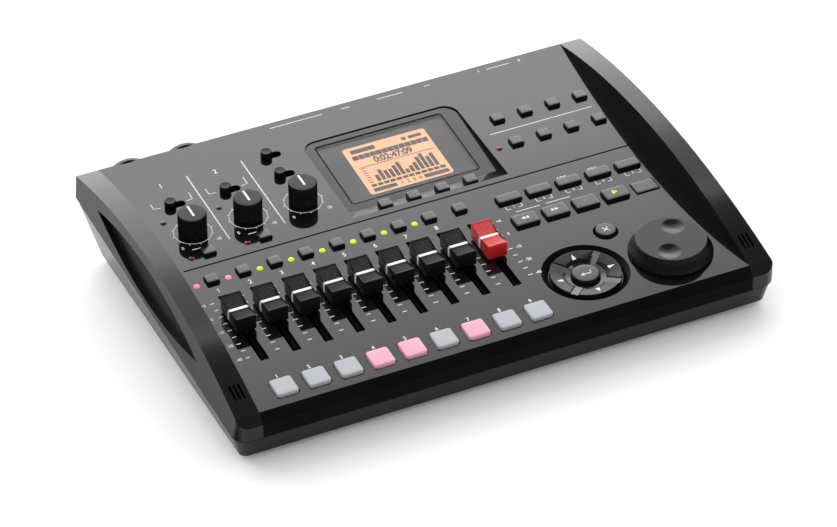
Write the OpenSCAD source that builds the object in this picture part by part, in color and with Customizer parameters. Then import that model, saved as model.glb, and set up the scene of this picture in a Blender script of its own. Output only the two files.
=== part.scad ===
// Desktop multitrack recorder: a sloping control panel between two arched end cheeks on a wedge base.
// Millimetres, +Z up, origin on the floor under the middle of the case.
// Most pieces are drawn in the case frame, which starts at the front of the parting plane:
// x runs across, v runs up the slope and w stands square on the parting plane.

/* [Case] */
// Overall width over the cheeks
case_w = 257; // [256:0.5:266]
// Overall depth from the front face to the input jack flanges
case_d = 190; // [189:0.5:196]
// Slope of the control panel in degrees
tilt = 7; // [6:0.25:8]
// Height of the parting line over the floor at the front
part_z = 13; // [12:0.25:15]
// Panel surface over the parting plane
panel_h = 10.75; // [10.5:0.25:12]
// Bevel along the front edge of the panel
bevel = 4; // [3:0.25:5]
// Thickness of the case walls
wall = 2.5; // [2:0.1:2.8]
// Radius of the front corners
corner_r = 6.5; // [5:0.5:8]
// Inward lean of the base flanks in degrees
undercut = 15; // [10:1:18]
// Shadow line where the base meets the top
shadow_line = 0.4; // [0.2:0.1:0.8]
// Height of the rubber feet
foot_h = 3; // [2:0.25:3.5]
// Radius of the rubber feet
foot_r = 7; // [5:0.5:9]

/* [Cheeks] */
// Width of one end cheek
cheek_w = 12.2; // [11.6:0.1:12.4]
// Rise of the cheek arch over the panel
rise = 13; // [10:0.5:14]
// Inward lean of the cheeks' outer faces in degrees
flank_lean = 7; // [5:0.5:9]
// Depth of the finger recess in the outer face
grip_d = 2.5; // [1:0.1:2.8]
// Height of the finger recess above and below its pointed ends
grip_rise = 8; // [6:0.1:8.6]
// Length of the microphone slots
mic_slot_l = 8; // [6:0.5:9]

/* [Tracks] */
// Distance between neighbouring tracks
pitch = 14.9; // [14.8:0.05:15]
// Middle of the first track
track_x = -100.5; // [-101:0.1:-100]
// Middle of the pads up the slope
pad_row = 14.3; // [14:0.1:14.6]
// Width of a pad
pad_x = 10.5; // [9.5:0.1:10.8]
// Length of a pad
pad_l = 11; // [10:0.1:11.4]
// Middle of the fader slots behind the middle of the pads
fader_dv = 44.3; // [44:0.1:45]
// Length of a fader slot
slot_l = 48; // [44:0.5:50]
// Width of a fader slot
slot_x = 4.1; // [3.6:0.1:4.6]
// Length of a fader cap
cap_l = 18.4; // [17:0.1:18.8]
// Width of a fader cap
cap_x = 9.2; // [8.4:0.1:9.6]
// Height of the fader cap ends over the panel
cap_h = 8.6; // [8:0.1:9.4]
// The caps rest this far behind the middle of their slots
cap_dv = 5.1; // [4.5:0.1:5.1]
// Middle of the track keys behind the ends of the fader slots
track_key_gap = 11.6; // [11.3:0.1:12]
// Track lamps sit this far in front of the middle of their key
lamp_dv = 1.3; // [0.8:0.1:1.6]
// Track lamps sit this far to the left of their key
lamp_dx = 7.6; // [7.4:0.1:7.8]

/* [Keys] */
// Width of a small key
key_x = 5.8; // [5.4:0.1:6.2]
// Length of a small key
key_l = 5.6; // [5:0.1:5.8]
// Distance between neighbouring marker and transport keys
wide_gap = 3.4; // [2.9:0.1:4.4]
// Length of the transport keys
transport_l = 7.8; // [7:0.1:8.4]
// Keys stand this far over the panel
key_h = 1.6; // [1.4:0.1:2.2]
// Pads stand this far over the panel
pad_h = 1.4; // [1:0.1:2]
// Middle of the marker keys behind the middle of the transport keys
marker_dv = 17.4; // [16.6:0.1:18]
// Middle of the transport keys behind the exit key
transport_dv = 21.8; // [21.2:0.1:22.4]
// Middle of the first marker and transport key
transport_x = 41.7; // [41.4:0.1:42]
// Middle of the first function key
function_x = 63.6; // [63.2:0.1:64]
// Distance between function keys
function_dx = 14.05; // [13.8:0.05:14.1]
// Middle of the lower function row behind the marker keys
function_gap = 37; // [36:0.1:38]
// Distance between the function rows
function_dv = 19.7; // [19:0.1:20]
// Middle of the two input keys behind the track keys
input_key_dv = 19.1; // [18.6:0.1:19.5]
// Middle of the exit key
exit_col = 70.5; // [70.2:0.1:70.8]
// Middle of the exit key up the slope
exit_row = 52.4; // [52:0.1:53]

/* [Knobs] */
// Middle of the first knob
knob_x = -95; // [-95.4:0.1:-94.6]
// Distance between knobs
knob_dx = 26.6; // [26.2:0.1:26.8]
// Middle of the knobs behind the input keys
knob_dv = 16.1; // [15.8:0.1:16.6]
// Radius of a knob
knob_r = 6.5; // [6:0.1:7]
// Height of a knob over the panel
knob_h = 10.8; // [9:0.1:11.4]
// Radius of the knob shafts
shaft_r = 3; // [2.5:0.1:3]
// Travel of the small slide switches
slide_t = 5; // [4:0.1:5.4]

/* [Cursor and dial] */
// Middle of the cursor ring
cursor_col = 49.4; // [49.2:0.1:49.7]
// Middle of the cursor ring up the slope
cursor_row = 30; // [29.6:0.1:30.4]
// Outer radius of the cursor dish
dish_r = 19.6; // [19:0.1:19.7]
// Outer radius of the cursor keys
ring_r = 15.8; // [15.2:0.1:16]
// Inner radius of the cursor keys
ring_in = 9.4; // [9.2:0.1:9.8]
// Radius of the enter key
enter_r = 6.3; // [6:0.1:6.5]
// Middle of the dial
dial_col = 89.9; // [89.8:0.1:90.2]
// Middle of the dial up the slope
dial_row = 27.7; // [27.4:0.1:28.2]
// Radius of the dial skirt
dial_r = 19; // [18.4:0.1:19]
// Radius of the dial's flat top
dial_top_r = 15.5; // [14.6:0.1:15.8]
// Height of the dial over the panel
dial_h = 7; // [6.4:0.1:7.6]

/* [Display] */
// Left edge of the display recess
disp_left = -26.5; // [-27:0.1:-26]
// Right edge of the display recess
disp_right = 50; // [49:0.1:50.4]
// Front edge of the display recess up the slope
disp_row = 108.6; // [108.4:0.1:109]
// Depth of the display recess up the slope
disp_d = 59.9; // [59.2:0.1:60.2]
// Drop of the recess floor at its rear edge
disp_drop = 0.6; // [0.4:0.1:0.8]
// Extra slope of the recess floor in degrees
disp_tilt = 3.4; // [2.8:0.1:3.5]

/* [Rear] */
// Radius of an input jack flange
flange_r = 12.3; // [11.8:0.1:12.6]
// Input jack flanges stand out this far from the rear wall
flange_t = 2; // [1.5:0.1:2.5]
// Input jack flanges stand this far over the panel's rear edge
flange_up = 0.7; // [0.5:0.1:2]
// Radius of a quarter inch plug hole
plug_r = 3.25; // [3.2:0.01:3.3]
// Travel of the power switch
power_t = 4; // [3:0.1:4.5]

/* [Fits] */
// Gap between a moving key and its hole
clr = 0.3; // [0.3:0.05:0.4]
// Gap between a turning shaft and its bore
run = 0.06; // [0.04:0.01:0.1]
// Travel of a key
key_t = 0.8; // [0.5:0.1:0.8]
// Thickness of the circuit boards
board_t = 1.6; // [1.2:0.1:1.6]
// Radius of a screw shank
screw_r = 1.5; // [1.2:0.1:1.6]

/* [Hidden] */
$fn = 64;
eps = 0.01;
half_w = case_w / 2;
panel_x = half_w - cheek_w;
under_h = panel_h - wall;
front_h = panel_h - bevel;
front_y = front_h * sin(tilt) - case_d / 2;
rear_y = case_d / 2 - flange_t;
// Length of the case blocks up the slope, past the rear wall
case_v = (rear_y - front_y) / cos(tilt) + 12;
// Panel surface at the rear wall
panel_end_v = (rear_y - front_y + panel_h * sin(tilt)) / cos(tilt);
rear_z = part_z + panel_end_v * sin(tilt) + panel_h * cos(tilt);
// Cheek arch, a circle through both ends of the panel
arch_half = (panel_end_v - bevel) / 2;
arch_v = (panel_end_v + bevel) / 2;
arch_r = (arch_half * arch_half + rise * rise) / (2 * rise);
// Finger recess, a lens between two circles, a little to the rear of the arch's middle
grip_half = 0.63 * arch_half;
grip_v = arch_v + 7.5;
grip_w = 10.3;
grip_r = (grip_half * grip_half + grip_rise * grip_rise) / (2 * grip_rise);
// Switch plungers end below the key stems by the key travel and one gap
switch_h = 4.3;
stem_w = switch_h + key_t + clr;
lip_t = 1;
lip_w = under_h - clr - lip_t;
// The columns share out the panel's width between the cheeks, and the rows its depth
side_gap = 15.8;
kx = panel_x / (side_gap - track_x);
slide_dv = 21.6;
slide_row = 15.8;
rear_gap = 23.1;
kv = (panel_end_v - slot_l / 2 - track_key_gap)
    / (pad_row + fader_dv + input_key_dv + knob_dv + slide_dv + slide_row + rear_gap);
// Rows of controls up the slope, each set from the row in front of it
pad_v = kv * pad_row;
fader_v = pad_v + kv * fader_dv;
track_key_v = fader_v + slot_l / 2 + track_key_gap;
lamp_v = track_key_v - lamp_dv;
groove_gap = 10.2;
groove_v = track_key_v + kv * groove_gap;
input_key_v = track_key_v + kv * input_key_dv;
knob_v = input_key_v + kv * knob_dv;
exit_x = kx * exit_col;
exit_v = kv * exit_row;
transport_v = exit_v + kv * transport_dv;
marker_v = transport_v + kv * marker_dv;
function_v = marker_v + kv * function_gap;
cursor_x = kx * cursor_col;
cursor_v = kv * cursor_row;
dial_x = kx * dial_col;
dial_v = kv * dial_row;
// Display recess, its sloping floor, the sill before it and the window in it
disp_l = kx * disp_left;
disp_r = kx * disp_right;
disp_f = kv * disp_row;
disp_b = disp_f + kv * disp_d;
sill = 8.6;
sill_v = disp_f + sill;
floor_b = panel_h - disp_drop;
floor_f = floor_b - (disp_b - sill_v) * tan(disp_tilt);
tray_t = 2;
module_gap = 0.2;
module_t = 3.5;
window_margin_l = 5.5;
window_margin_r = 8;
window_margin_f = 13.4;
window_margin_b = 4.5;
window_l = disp_l + window_margin_l;
window_r = disp_r - window_margin_r;
window_f = disp_f + window_margin_f;
window_b = disp_b - window_margin_b;
// Columns of the tracks, knobs, slide switches and keys
tracks = [for (i = [0:8]) kx * (track_x + i * pitch)];
knobs = [for (i = [0:2]) kx * (knob_x + i * knob_dx)];
slide_dx = 2;
slide_v = knob_v + kv * slide_dv;
slides = [
    [knobs[0] - slide_dx, slide_v], [knobs[1] - slide_dx, slide_v],
    [knobs[2] - slide_dx, slide_v + kv * slide_row], [knobs[2] - slide_dx, slide_v]
];
stem_r = 1.5;
slide_slot_r = stem_r + 0.7;
slide_body = 5;
soft_first = -9.2;
soft_pitch = 14;
soft_x = [for (i = [0:3]) kx * (soft_first + i * soft_pitch)];
soft_on = 3.9;
soft_v = disp_f + soft_on;
functions = [
    for (j = [0:1], i = [0:3]) [kx * (function_x + i * function_dx), function_v + j * kv * function_dv]
];
wide_keys = [for (i = [0:4]) kx * (transport_x + i * pitch)];
wide_x = kx * pitch - wide_gap;
// Lamps beside the track keys, the knobs, the input keys and the first function key
knob_lamp = [9.4, 11.4];
function_lamp = [9, -1.1];
input_key_dx = 0.9;
input_lamp_dv = 1.4;
level_lamps = [
    [knobs[0] - knob_lamp.x, knob_v + knob_lamp.y], [knobs[1] - knob_lamp.x, knob_v + knob_lamp.y],
    [knobs[0] - lamp_dx, input_key_v - input_lamp_dv], [knobs[1] - lamp_dx, input_key_v - input_lamp_dv],
    [functions[0].x - function_lamp.x, function_v + function_lamp.y]
];
track_lamps = [for (i = [0:7]) [tracks[i] - lamp_dx, lamp_v]];
lamp_r = 1.5;
// Cursor dish floor, and the saucer that the cursor keys and the hub share
dish_t = 2.2;
saucer = 0.17;
saucer_w = panel_h - saucer * ring_r;
// Rear panel, with the first jack set from the side wall
jack_z = rear_z + flange_up - flange_r;
jack_r = flange_r - 1.1;
jack_l = 21;
mouth_r = 9;
contact_at = 6;
contact_r = 1.2;
jack_gap = 0.6;
jack_pitch = 27.5;
jack_first = -(panel_x - wall - jack_r - jack_gap);
jack_x = [jack_first, jack_first + jack_pitch];
socket_x = kx * [-30, 2, 45, 62];
socket_z = 26;
socket_l = 21;
socket_w = 12;
barrel_r = 4.6;
power_w = 4.8;
power_x = kx * 82;
power_z = 26;
// Main board along the rear, on its posts
main_z = 18;
main_d = 51;
main_y = rear_y - main_d;
main_left = 12.5;
main_right = 16.5;
main_posts = kx * [-112, -45, 30, 106];
// Control board, which ends in front of the input jacks
board_gap = 3.4;
board_end = (rear_y - jack_l - front_y) / cos(tilt) - board_gap;
// Screws and posts, with the two rear ones behind the control board
post_r = 3;
head_r = 2.6;
head_t = 1.8;
seat_w = -7;
screw_x = panel_x - wall - post_r - 0.6;
screw_f = wall + post_r + 1.5;
screw_m = kv * 104;
screw_b = panel_end_v - 12.9;
screws = [
    [-screw_x, screw_f], [screw_x, screw_f], [-screw_x, screw_m], [screw_x, screw_m],
    [jack_x[1] + jack_r + 11.3, screw_b], [kx * 100, screw_b]
];
cheek_screws = kv * [23.5, 97, 160];
cheek_screw_w = 4.5;
// Microphones under the slots in the cheeks
mic_v = 16.5;
mic_in = 7.4;
mic_r = 3;
mic_h = 5;
mic_top = panel_h - 1;
// Feet
foot_col = 95;
foot_x = kx * foot_col;
foot_f = 29;
foot_b = 21;

// Helpers

module on_slope() {
    translate([0, front_y, part_z])
        rotate([tilt, 0, 0])
            children();
}

// Everything in front of the rear wall, or of its inner face
module before_rear(inset = 0) {
    translate([-case_w, -case_d, -20])
        cube([2 * case_w, case_d + rear_y - inset, 160]);
}

// Rounded rectangle about its middle
module rrect(x, y, r) {
    square([x - 2 * r, y], center = true);
    square([x, y - 2 * r], center = true);
    for (i = [-1, 1], j = [-1, 1])
        translate([i * (x / 2 - r), j * (y / 2 - r)])
            circle(r);
}

// Profile in the v-w plane, drawn out across from one x to another
module across(x0, x1) {
    translate([x0, 0, 0])
        rotate([90, 0, 90])
            linear_extrude(x1 - x0)
                children();
}

// Cylinder along +Y in the upright frame
module along_y(x, y, z, r, len) {
    translate([x, y, z])
        rotate([-90, 0, 0])
            cylinder(r = r, h = len);
}

module slide_slot(len, r) {
    translate([len / 2, 0])
        square([len, 2 * r], center = true);
    for (x = [0, len])
        translate([x, 0])
            circle(r);
}

// Hole for a key through the panel
module key_hole(x, v, sx, sy, r) {
    translate([x, v, under_h - 4])
        linear_extrude(wall + 6)
            rrect(sx + 2 * clr, sy + 2 * clr, r + clr);
}

// Key cap with a lip under the panel and a stem over its switch
module key_cap(x, v, sx, sy, r, top) {
    translate([x, v, 0]) {
        translate([0, 0, lip_w])
            linear_extrude(lip_t)
                rrect(sx + 1.8, sy + 1.8, r);
        translate([0, 0, lip_w])
            linear_extrude(panel_h + top - lip_w)
                rrect(sx, sy, r);
        translate([0, 0, stem_w])
            cylinder(r = 1.6, h = lip_w - stem_w + eps);
    }
}

// One quarter of the cursor ring, facing +x, grown by a gap
module ring_quarter(grow = 0) {
    arm = 2 - grow;
    difference() {
        intersection() {
            circle(ring_r + grow);
            polygon([[0, 0], [30, 30], [30, -30]]);
        }
        circle(ring_in - grow);
        for (s = [-1, 1])
            rotate([0, 0, s * 45])
                translate([0, -arm, 0])
                    square([40, 2 * arm]);
    }
}

// Fixed case pieces

module upper_block() {
    across(-panel_x, panel_x)
        polygon([[0, 0], [0, front_h], [bevel, panel_h], [case_v, panel_h], [case_v, 0]]);
}

module upper_cavity() {
    off = wall * (sqrt(2) - 1);
    across(-panel_x + wall, panel_x - wall)
        polygon([
            [wall, -1], [wall, front_h - off], [bevel + off, under_h], [case_v, under_h], [case_v, -1]
        ]);
}

// Body that carries the display recess under the panel
module display_tray() {
    t = tan(disp_tilt);
    across(disp_l - 2, disp_r + 2)
        polygon([
            [disp_b + 2, panel_h - 0.5], [disp_b + 2, floor_b - tray_t + 2 * t],
            [sill_v - 1, floor_f - tray_t - t], [disp_f - 1.8, under_h - 0.2], [disp_f - 1.8, panel_h - 0.5]
        ]);
}

module display_recess() {
    intersection() {
        across(disp_l, disp_r)
            polygon([
                [disp_b, floor_b], [sill_v, floor_f], [disp_f, panel_h],
                [disp_f, panel_h + 5], [disp_b, panel_h + 5]
            ]);
        translate([(disp_l + disp_r) / 2, (disp_b + disp_f - 12) / 2, 0])
            linear_extrude(40)
                rrect(disp_r - disp_l, disp_b - disp_f + 12, 7);
    }
}

// Slab that follows the recess floor, from depth a to depth b under it
module floor_slab(x0, x1, v0, v1, a, b) {
    t = tan(disp_tilt);
    across(x0, x1)
        polygon([
            [v0, floor_b - (disp_b - v0) * t - a], [v1, floor_b - (disp_b - v1) * t - a],
            [v1, floor_b - (disp_b - v1) * t - b], [v0, floor_b - (disp_b - v0) * t - b]
        ]);
}

module panel_holes() {
    for (x = tracks) {
        translate([x, fader_v, under_h - 1])
            linear_extrude(wall + 2)
                rrect(slot_x, slot_l, 0.4);
        key_hole(x, pad_v, pad_x, pad_l, 2);
        key_hole(x, track_key_v, key_x, key_l, 0.6);
    }
    for (x = wide_keys) {
        key_hole(x, marker_v, wide_x, key_l, 0.6);
        key_hole(x, transport_v, wide_x, transport_l, 0.8);
    }
    for (p = functions)
        key_hole(p[0], p[1], key_x, key_l, 0.6);
    for (x = soft_x)
        key_hole(x, soft_v, key_x, key_l, 0.6);
    for (i = [0, 1])
        key_hole(knobs[i] + input_key_dx, input_key_v, key_x, key_l, 0.6);
    for (x = knobs)
        translate([x, knob_v, under_h - 1])
            cylinder(r = shaft_r + 0.5, h = wall + 2);
    translate([dial_x, dial_v, under_h - 1])
        cylinder(r = shaft_r + 0.5, h = wall + 2);
    for (p = slides)
        translate([p[0], p[1], under_h - 1])
            linear_extrude(wall + 2)
                slide_slot(slide_t, slide_slot_r);
    for (p = concat(track_lamps, level_lamps))
        translate([p[0], p[1], under_h - 1])
            cylinder(r = lamp_r, h = wall + 2);
    translate([exit_x, exit_v, under_h - 1])
        cylinder(r = 5.4 + clr, h = wall + 2);
    translate([-panel_x + 7, groove_v, panel_h - 0.6])
        cube([2 * panel_x - 14, 0.9, 2]);
}

// Cursor dish with the hub and the four arms left standing between the keys
module cursor_dish() {
    translate([cursor_x, cursor_v, under_h])
        difference() {
            cylinder(r1 = ring_r + 0.6, r2 = dish_r, h = wall + eps);
            difference() {
                linear_extrude(wall - 0.2)
                    difference() {
                        circle(ring_r + 0.6 - clr);
                        for (q = [0:3])
                            rotate([0, 0, 90 * q])
                                ring_quarter(clr);
                    }
                translate([0, 0, saucer_w - 0.3 - under_h])
                    cylinder(r1 = 0, r2 = 20, h = 20 * saucer);
            }
        }
    translate([cursor_x, cursor_v, under_h - dish_t - 1])
        linear_extrude(wall + dish_t + 2) {
            circle(enter_r + clr);
            for (q = [0:3])
                rotate([0, 0, 90 * q])
                    ring_quarter(clr);
        }
}

module screw_line(x, v, r, w0, w1) {
    translate([x, v, w0])
        cylinder(r = r, h = w1 - w0);
}

// Openings of the input jacks, kept under the panel
module jack_openings(r) {
    intersection() {
        for (x = jack_x)
            along_y(x, rear_y - 10, jack_z, r, 20);
        on_slope()
            translate([-case_w, -20, -60])
                cube([2 * case_w, case_v + 40, 60 + under_h - 0.2]);
    }
}

module top_case() {
    color([0.09, 0.09, 0.10])
        difference() {
            union() {
                difference() {
                    intersection() {
                        on_slope()
                            upper_block();
                        before_rear();
                    }
                    intersection() {
                        on_slope()
                            upper_cavity();
                        before_rear(wall);
                    }
                }
                on_slope() {
                    display_tray();
                    translate([cursor_x, cursor_v, under_h - dish_t])
                        cylinder(r = dish_r + 1.4, h = dish_t + 1);
                    for (p = screws)
                        screw_line(p[0], p[1], post_r, 0, under_h + 1);
                }
            }
            on_slope() {
                panel_holes();
                display_recess();
                floor_slab(window_l - clr, window_r + clr, window_f - clr, window_b + clr, -1, 4);
                cursor_dish();
                for (p = screws)
                    screw_line(p[0], p[1], screw_r + run, -1, under_h - 1.5);
                for (s = [-1, 1], v = cheek_screws)
                    translate([s * (panel_x - wall / 2), v, cheek_screw_w])
                        rotate([0, 90, 0])
                            cylinder(r = screw_r + run, h = wall + 1, center = true);
            }
            jack_openings(jack_r + run);
        }
}

// Base solid below the parting plane with leaning flanks and front, inset all round by a wall
module lower_block(inset) {
    hw = half_w - shadow_line - inset;
    lo = shadow_line + inset;
    r = max(corner_r - inset, 1);
    drop = 42;
    in = drop * tan(undercut);
    difference() {
        translate([-hw, lo, -drop])
            cube([2 * hw, case_v, drop]);
        for (s = [-1, 1]) {
            translate([s * hw, 0, 0])
                rotate([0, s * undercut, 0])
                    translate([s > 0 ? 0 : -40, -10, -2 * drop])
                        cube([40, case_v + 40, 2 * drop + 20]);
            translate([s * (hw - r), lo + r, 0])
                difference() {
                    translate([s > 0 ? 0 : -r - in, -r - 1, -drop - 1])
                        cube([r + in, r + 1, drop + 2]);
                    // The cone stands a hair proud of the flanks, so that the two cross cleanly
                    translate([0, 0, -(r + 0.03) / tan(undercut)])
                        cylinder(r1 = 0, r2 = 2 * r, h = 2 * r / tan(undercut));
                }
        }
        translate([0, lo, 0])
            rotate([undercut, 0, 0])
                translate([-case_w, -40, -2 * drop])
                    cube([2 * case_w, 40, 2 * drop + 20]);
    }
}

module bottom_case() {
    color([0.07, 0.07, 0.08])
        difference() {
            intersection() {
                union() {
                    difference() {
                        on_slope()
                            lower_block(0);
                        intersection() {
                            on_slope()
                                translate([0, 0, eps])
                                    lower_block(wall);
                            before_rear(wall);
                            translate([-case_w, -case_d, foot_h + wall])
                                cube([2 * case_w, 2 * case_d, 100]);
                        }
                    }
                    intersection() {
                        on_slope()
                            for (i = [0:5])
                                screw_line(screws[i].x, screws[i].y, post_r + 1, -60, i < 4 ? -board_t : 0);
                        on_slope()
                            lower_block(0.5);
                    }
                    for (x = main_posts)
                        translate([x, main_y + 4, foot_h + 1])
                            cylinder(r = post_r, h = main_z - foot_h - 1);
                }
                before_rear();
                translate([-case_w, -case_d, foot_h])
                    cube([2 * case_w, 2 * case_d, 100]);
            }
            on_slope()
                for (p = screws) {
                    screw_line(p[0], p[1], screw_r + run, -60, 5);
                    screw_line(p[0], p[1], head_r + 0.4, -60, seat_w);
                }
            jack_openings(jack_r + run);
            for (x = socket_x)
                along_y(x, rear_y - 2 * wall, socket_z, barrel_r + run, 4 * wall);
            translate([power_x - (power_t + power_w) / 2 - 0.4, rear_y - 2 * wall, power_z - 2])
                cube([power_t + power_w + 0.8, 4 * wall, 4]);
        }
}

// Right-hand cheek: an arched bar with a bevelled front, a finger recess and microphone slots
module cheek() {
    color([0.11, 0.11, 0.12])
        difference() {
            intersection() {
                on_slope()
                    difference() {
                        intersection() {
                            translate([panel_x, 0, 0])
                                cube([cheek_w, case_v, 50]);
                            arch();
                        }
                        across(panel_x - 1, half_w + 1)
                            polygon([[-5, front_h - 5], [40, front_h + 40], [-5, front_h + 40]]);
                        translate([half_w, -1, 0])
                            rotate([0, -flank_lean, 0])
                                cube([20, case_v + 2, 60]);
                        translate([half_w - corner_r, corner_r, -1])
                            difference() {
                                translate([0, -corner_r - 1, 0])
                                    cube([corner_r + 1, corner_r + 1, 60]);
                                cylinder(r = corner_r, h = 60);
                            }
                        finger_recess();
                    }
                before_rear();
            }
            on_slope() {
                for (i = [0, 1])
                    translate([panel_x + wall, cheek_screws[i] + 6, -1])
                        cube([
                            cheek_w - 2 * wall - grip_d - under_h * tan(flank_lean),
                            cheek_screws[i + 1] - cheek_screws[i] - 12,
                            under_h + 1
                        ]);
                for (v = cheek_screws)
                    translate([panel_x - 1, v, cheek_screw_w])
                        rotate([0, 90, 0])
                            cylinder(r = screw_r + run, h = 8);
                translate([half_w - mic_in, mic_v, -1])
                    cylinder(r = mic_r + run, h = mic_top + 1);
                for (i = [-1:1])
                    translate([half_w - mic_in + i * 2 - 0.5, mic_v - mic_slot_l / 2, mic_top - eps])
                        cube([1, mic_slot_l, 20]);
            }
        }
}

// Space under the cheek arch
module arch() {
    translate([0, arch_v, panel_h + rise - arch_r])
        rotate([0, 90, 0])
            cylinder(r = arch_r, h = 2 * case_w, center = true, $fn = 200);
}

// Lens-shaped recess in the leaning outer face, where two large circles cross
module finger_recess() {
    translate([half_w, grip_v, grip_w])
        translate([-grip_w * tan(flank_lean), 0, 0])
            rotate([0, -flank_lean, 0])
                intersection() {
                    translate([-grip_d, -case_v / 2, -40])
                        cube([20, case_v, 80]);
                    translate([0, 0, grip_rise - grip_r])
                        rotate([0, 90, 0])
                            cylinder(r = grip_r, h = 60, center = true, $fn = 200);
                    translate([0, 0, grip_r - grip_rise])
                        rotate([0, 90, 0])
                            cylinder(r = grip_r, h = 60, center = true, $fn = 200);
                }
}

module left_cheek() {
    mirror([1, 0, 0])
        cheek();
}

module right_cheek() {
    cheek();
}

module display_window() {
    color([0.05, 0.05, 0.06])
        on_slope()
            floor_slab(window_l, window_r, window_f, window_b, 0, tray_t);
}

module display_module() {
    color([0.85, 0.55, 0.30])
        on_slope()
            floor_slab(
                window_l - 3, window_r + 3, window_f - 2.5, window_b + 2,
                tray_t + module_gap, tray_t + module_t
            );
}

module control_board() {
    color([0.05, 0.22, 0.10])
        on_slope()
            difference() {
                union() {
                    translate([-panel_x + wall + 2, wall + 1.5, -board_t])
                        cube([2 * (panel_x - wall - 2), board_end - wall - 1.5, board_t]);
                    translate([slides[2].x - slide_body, board_end - 1, -board_t])
                        cube([slide_t + 7.2, slides[2].y + 3.7 - board_end, board_t]);
                }
                for (p = screws)
                    screw_line(p[0], p[1], screw_r + 0.3, -5, 5);
            }
}

module main_board() {
    color([0.05, 0.22, 0.10])
        difference() {
            translate([main_left - half_w, main_y, main_z])
                cube([case_w - main_left - main_right, main_d - wall - 1, board_t]);
            on_slope()
                for (i = [4, 5])
                    screw_line(screws[i][0], screws[i][1], post_r + 2, -60, 5);
        }
}

module fader_tracks() {
    body_l = slot_l + 12;
    color([0.45, 0.46, 0.48])
        on_slope()
            for (x = tracks)
                translate([x, fader_v, 0])
                    difference() {
                        translate([-4, -body_l / 2, 0])
                            cube([8, body_l, 6]);
                        translate([-1.5, -slot_l / 2, 2.5])
                            cube([3, slot_l, 10]);
                    }
}

module rotary_bodies() {
    color([0.35, 0.36, 0.38])
        on_slope() {
            for (p = [[knobs[0], knob_v], [knobs[1], knob_v], [knobs[2], knob_v], [dial_x, dial_v]])
                translate([p[0], p[1], 0])
                    difference() {
                        translate([-5.5, -6, 0])
                            cube([11, 12, 6.5]);
                        translate([0, 0, 1.5 - clr])
                            cylinder(r = shaft_r + run, h = 10);
                    }
        }
}

module tact(x, v) {
    translate([x - 2.4, v - 2.4, 0])
        cube([4.8, 4.8, 3.5]);
    translate([x, v, 0])
        cylinder(r = 1.6, h = switch_h);
}

// Switches under every key, and the bodies behind the slide switches
module switch_bodies() {
    color([0.30, 0.30, 0.32]) {
        on_slope() {
            for (x = tracks) {
                tact(x, pad_v);
                tact(x, track_key_v);
            }
            for (x = wide_keys) {
                tact(x, marker_v);
                tact(x, transport_v);
            }
            for (p = functions)
                tact(p[0], p[1]);
            for (x = soft_x)
                tact(x, soft_v);
            for (i = [0, 1])
                tact(knobs[i] + input_key_dx, input_key_v);
            tact(exit_x, exit_v);
            tact(cursor_x, cursor_v);
            for (q = [0:3])
                translate([cursor_x, cursor_v, 0])
                    rotate([0, 0, 90 * q])
                        tact((ring_r + ring_in) / 2, 0);
            for (p = slides)
                translate([p[0] - 3.5, p[1] - slide_body / 2, 0])
                    cube([slide_t + 7, slide_body, slide_body]);
        }
        translate([power_x - 8, rear_y - wall - 7, power_z - 4])
            cube([16, 7 - clr, 8]);
    }
}

// Two combination jacks: round flange, centre plug hole and three contact holes
module input_jacks() {
    color([0.06, 0.06, 0.07])
        for (x = jack_x)
            difference() {
                union() {
                    along_y(x, rear_y, jack_z, flange_r, flange_t);
                    intersection() {
                        along_y(x, rear_y - jack_l, jack_z, jack_r, jack_l + 0.5);
                        on_slope()
                            translate([-case_w, -20, -60])
                                cube([2 * case_w, case_v + 40, 60 + under_h - 0.3]);
                    }
                }
                along_y(x, rear_y - jack_l + 3, jack_z, plug_r, jack_l + flange_t);
                along_y(x, case_d / 2 - flange_t / 2, jack_z, mouth_r, 2 * flange_t);
                for (a = [90, 210, 330])
                    along_y(
                        x + contact_at * cos(a), rear_y - mouth_r,
                        jack_z + contact_at * sin(a), contact_r, jack_l
                    );
            }
}

// Four plug sockets: outputs, headphones and foot control
module rear_sockets() {
    color([0.16, 0.16, 0.17])
        for (x = socket_x)
            difference() {
                union() {
                    translate([x - socket_w / 2, rear_y - wall - socket_l + 3, main_z + board_t])
                        cube([socket_w, socket_l - 3, 2 * (socket_z - main_z - board_t)]);
                    along_y(x, rear_y - wall - 1, socket_z, barrel_r, wall + 2.4);
                    translate([x, rear_y, socket_z])
                        rotate([-90, 0, 0])
                            cylinder(r = 6.4, h = 1, $fn = 6);
                }
                along_y(x, rear_y - socket_l + 2, socket_z, plug_r, socket_l + 10);
            }
}

module status_lamps() {
    color([0.80, 0.15, 0.15])
        on_slope()
            for (p = concat(track_lamps, level_lamps))
                translate([p[0], p[1], 0]) {
                    cylinder(r = lamp_r, h = panel_h);
                    intersection() {
                        translate([0, 0, panel_h - 1.2])
                            sphere(r = sqrt(lamp_r * lamp_r + 1.44));
                        translate([0, 0, panel_h - 1])
                            cylinder(r = lamp_r, h = 3);
                    }
                }
}

module mic_capsules() {
    color([0.60, 0.60, 0.62])
        on_slope()
            for (s = [-1, 1])
                translate([s * (half_w - mic_in), mic_v, mic_top - mic_h])
                    cylinder(r = mic_r, h = mic_h);
}

module rubber_feet() {
    color([0.04, 0.04, 0.04])
        for (x = [-foot_x, foot_x], y = [foot_f - case_d / 2, rear_y - foot_b])
            translate([x, y, 0])
                cylinder(r = foot_r, h = foot_h);
}

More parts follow.
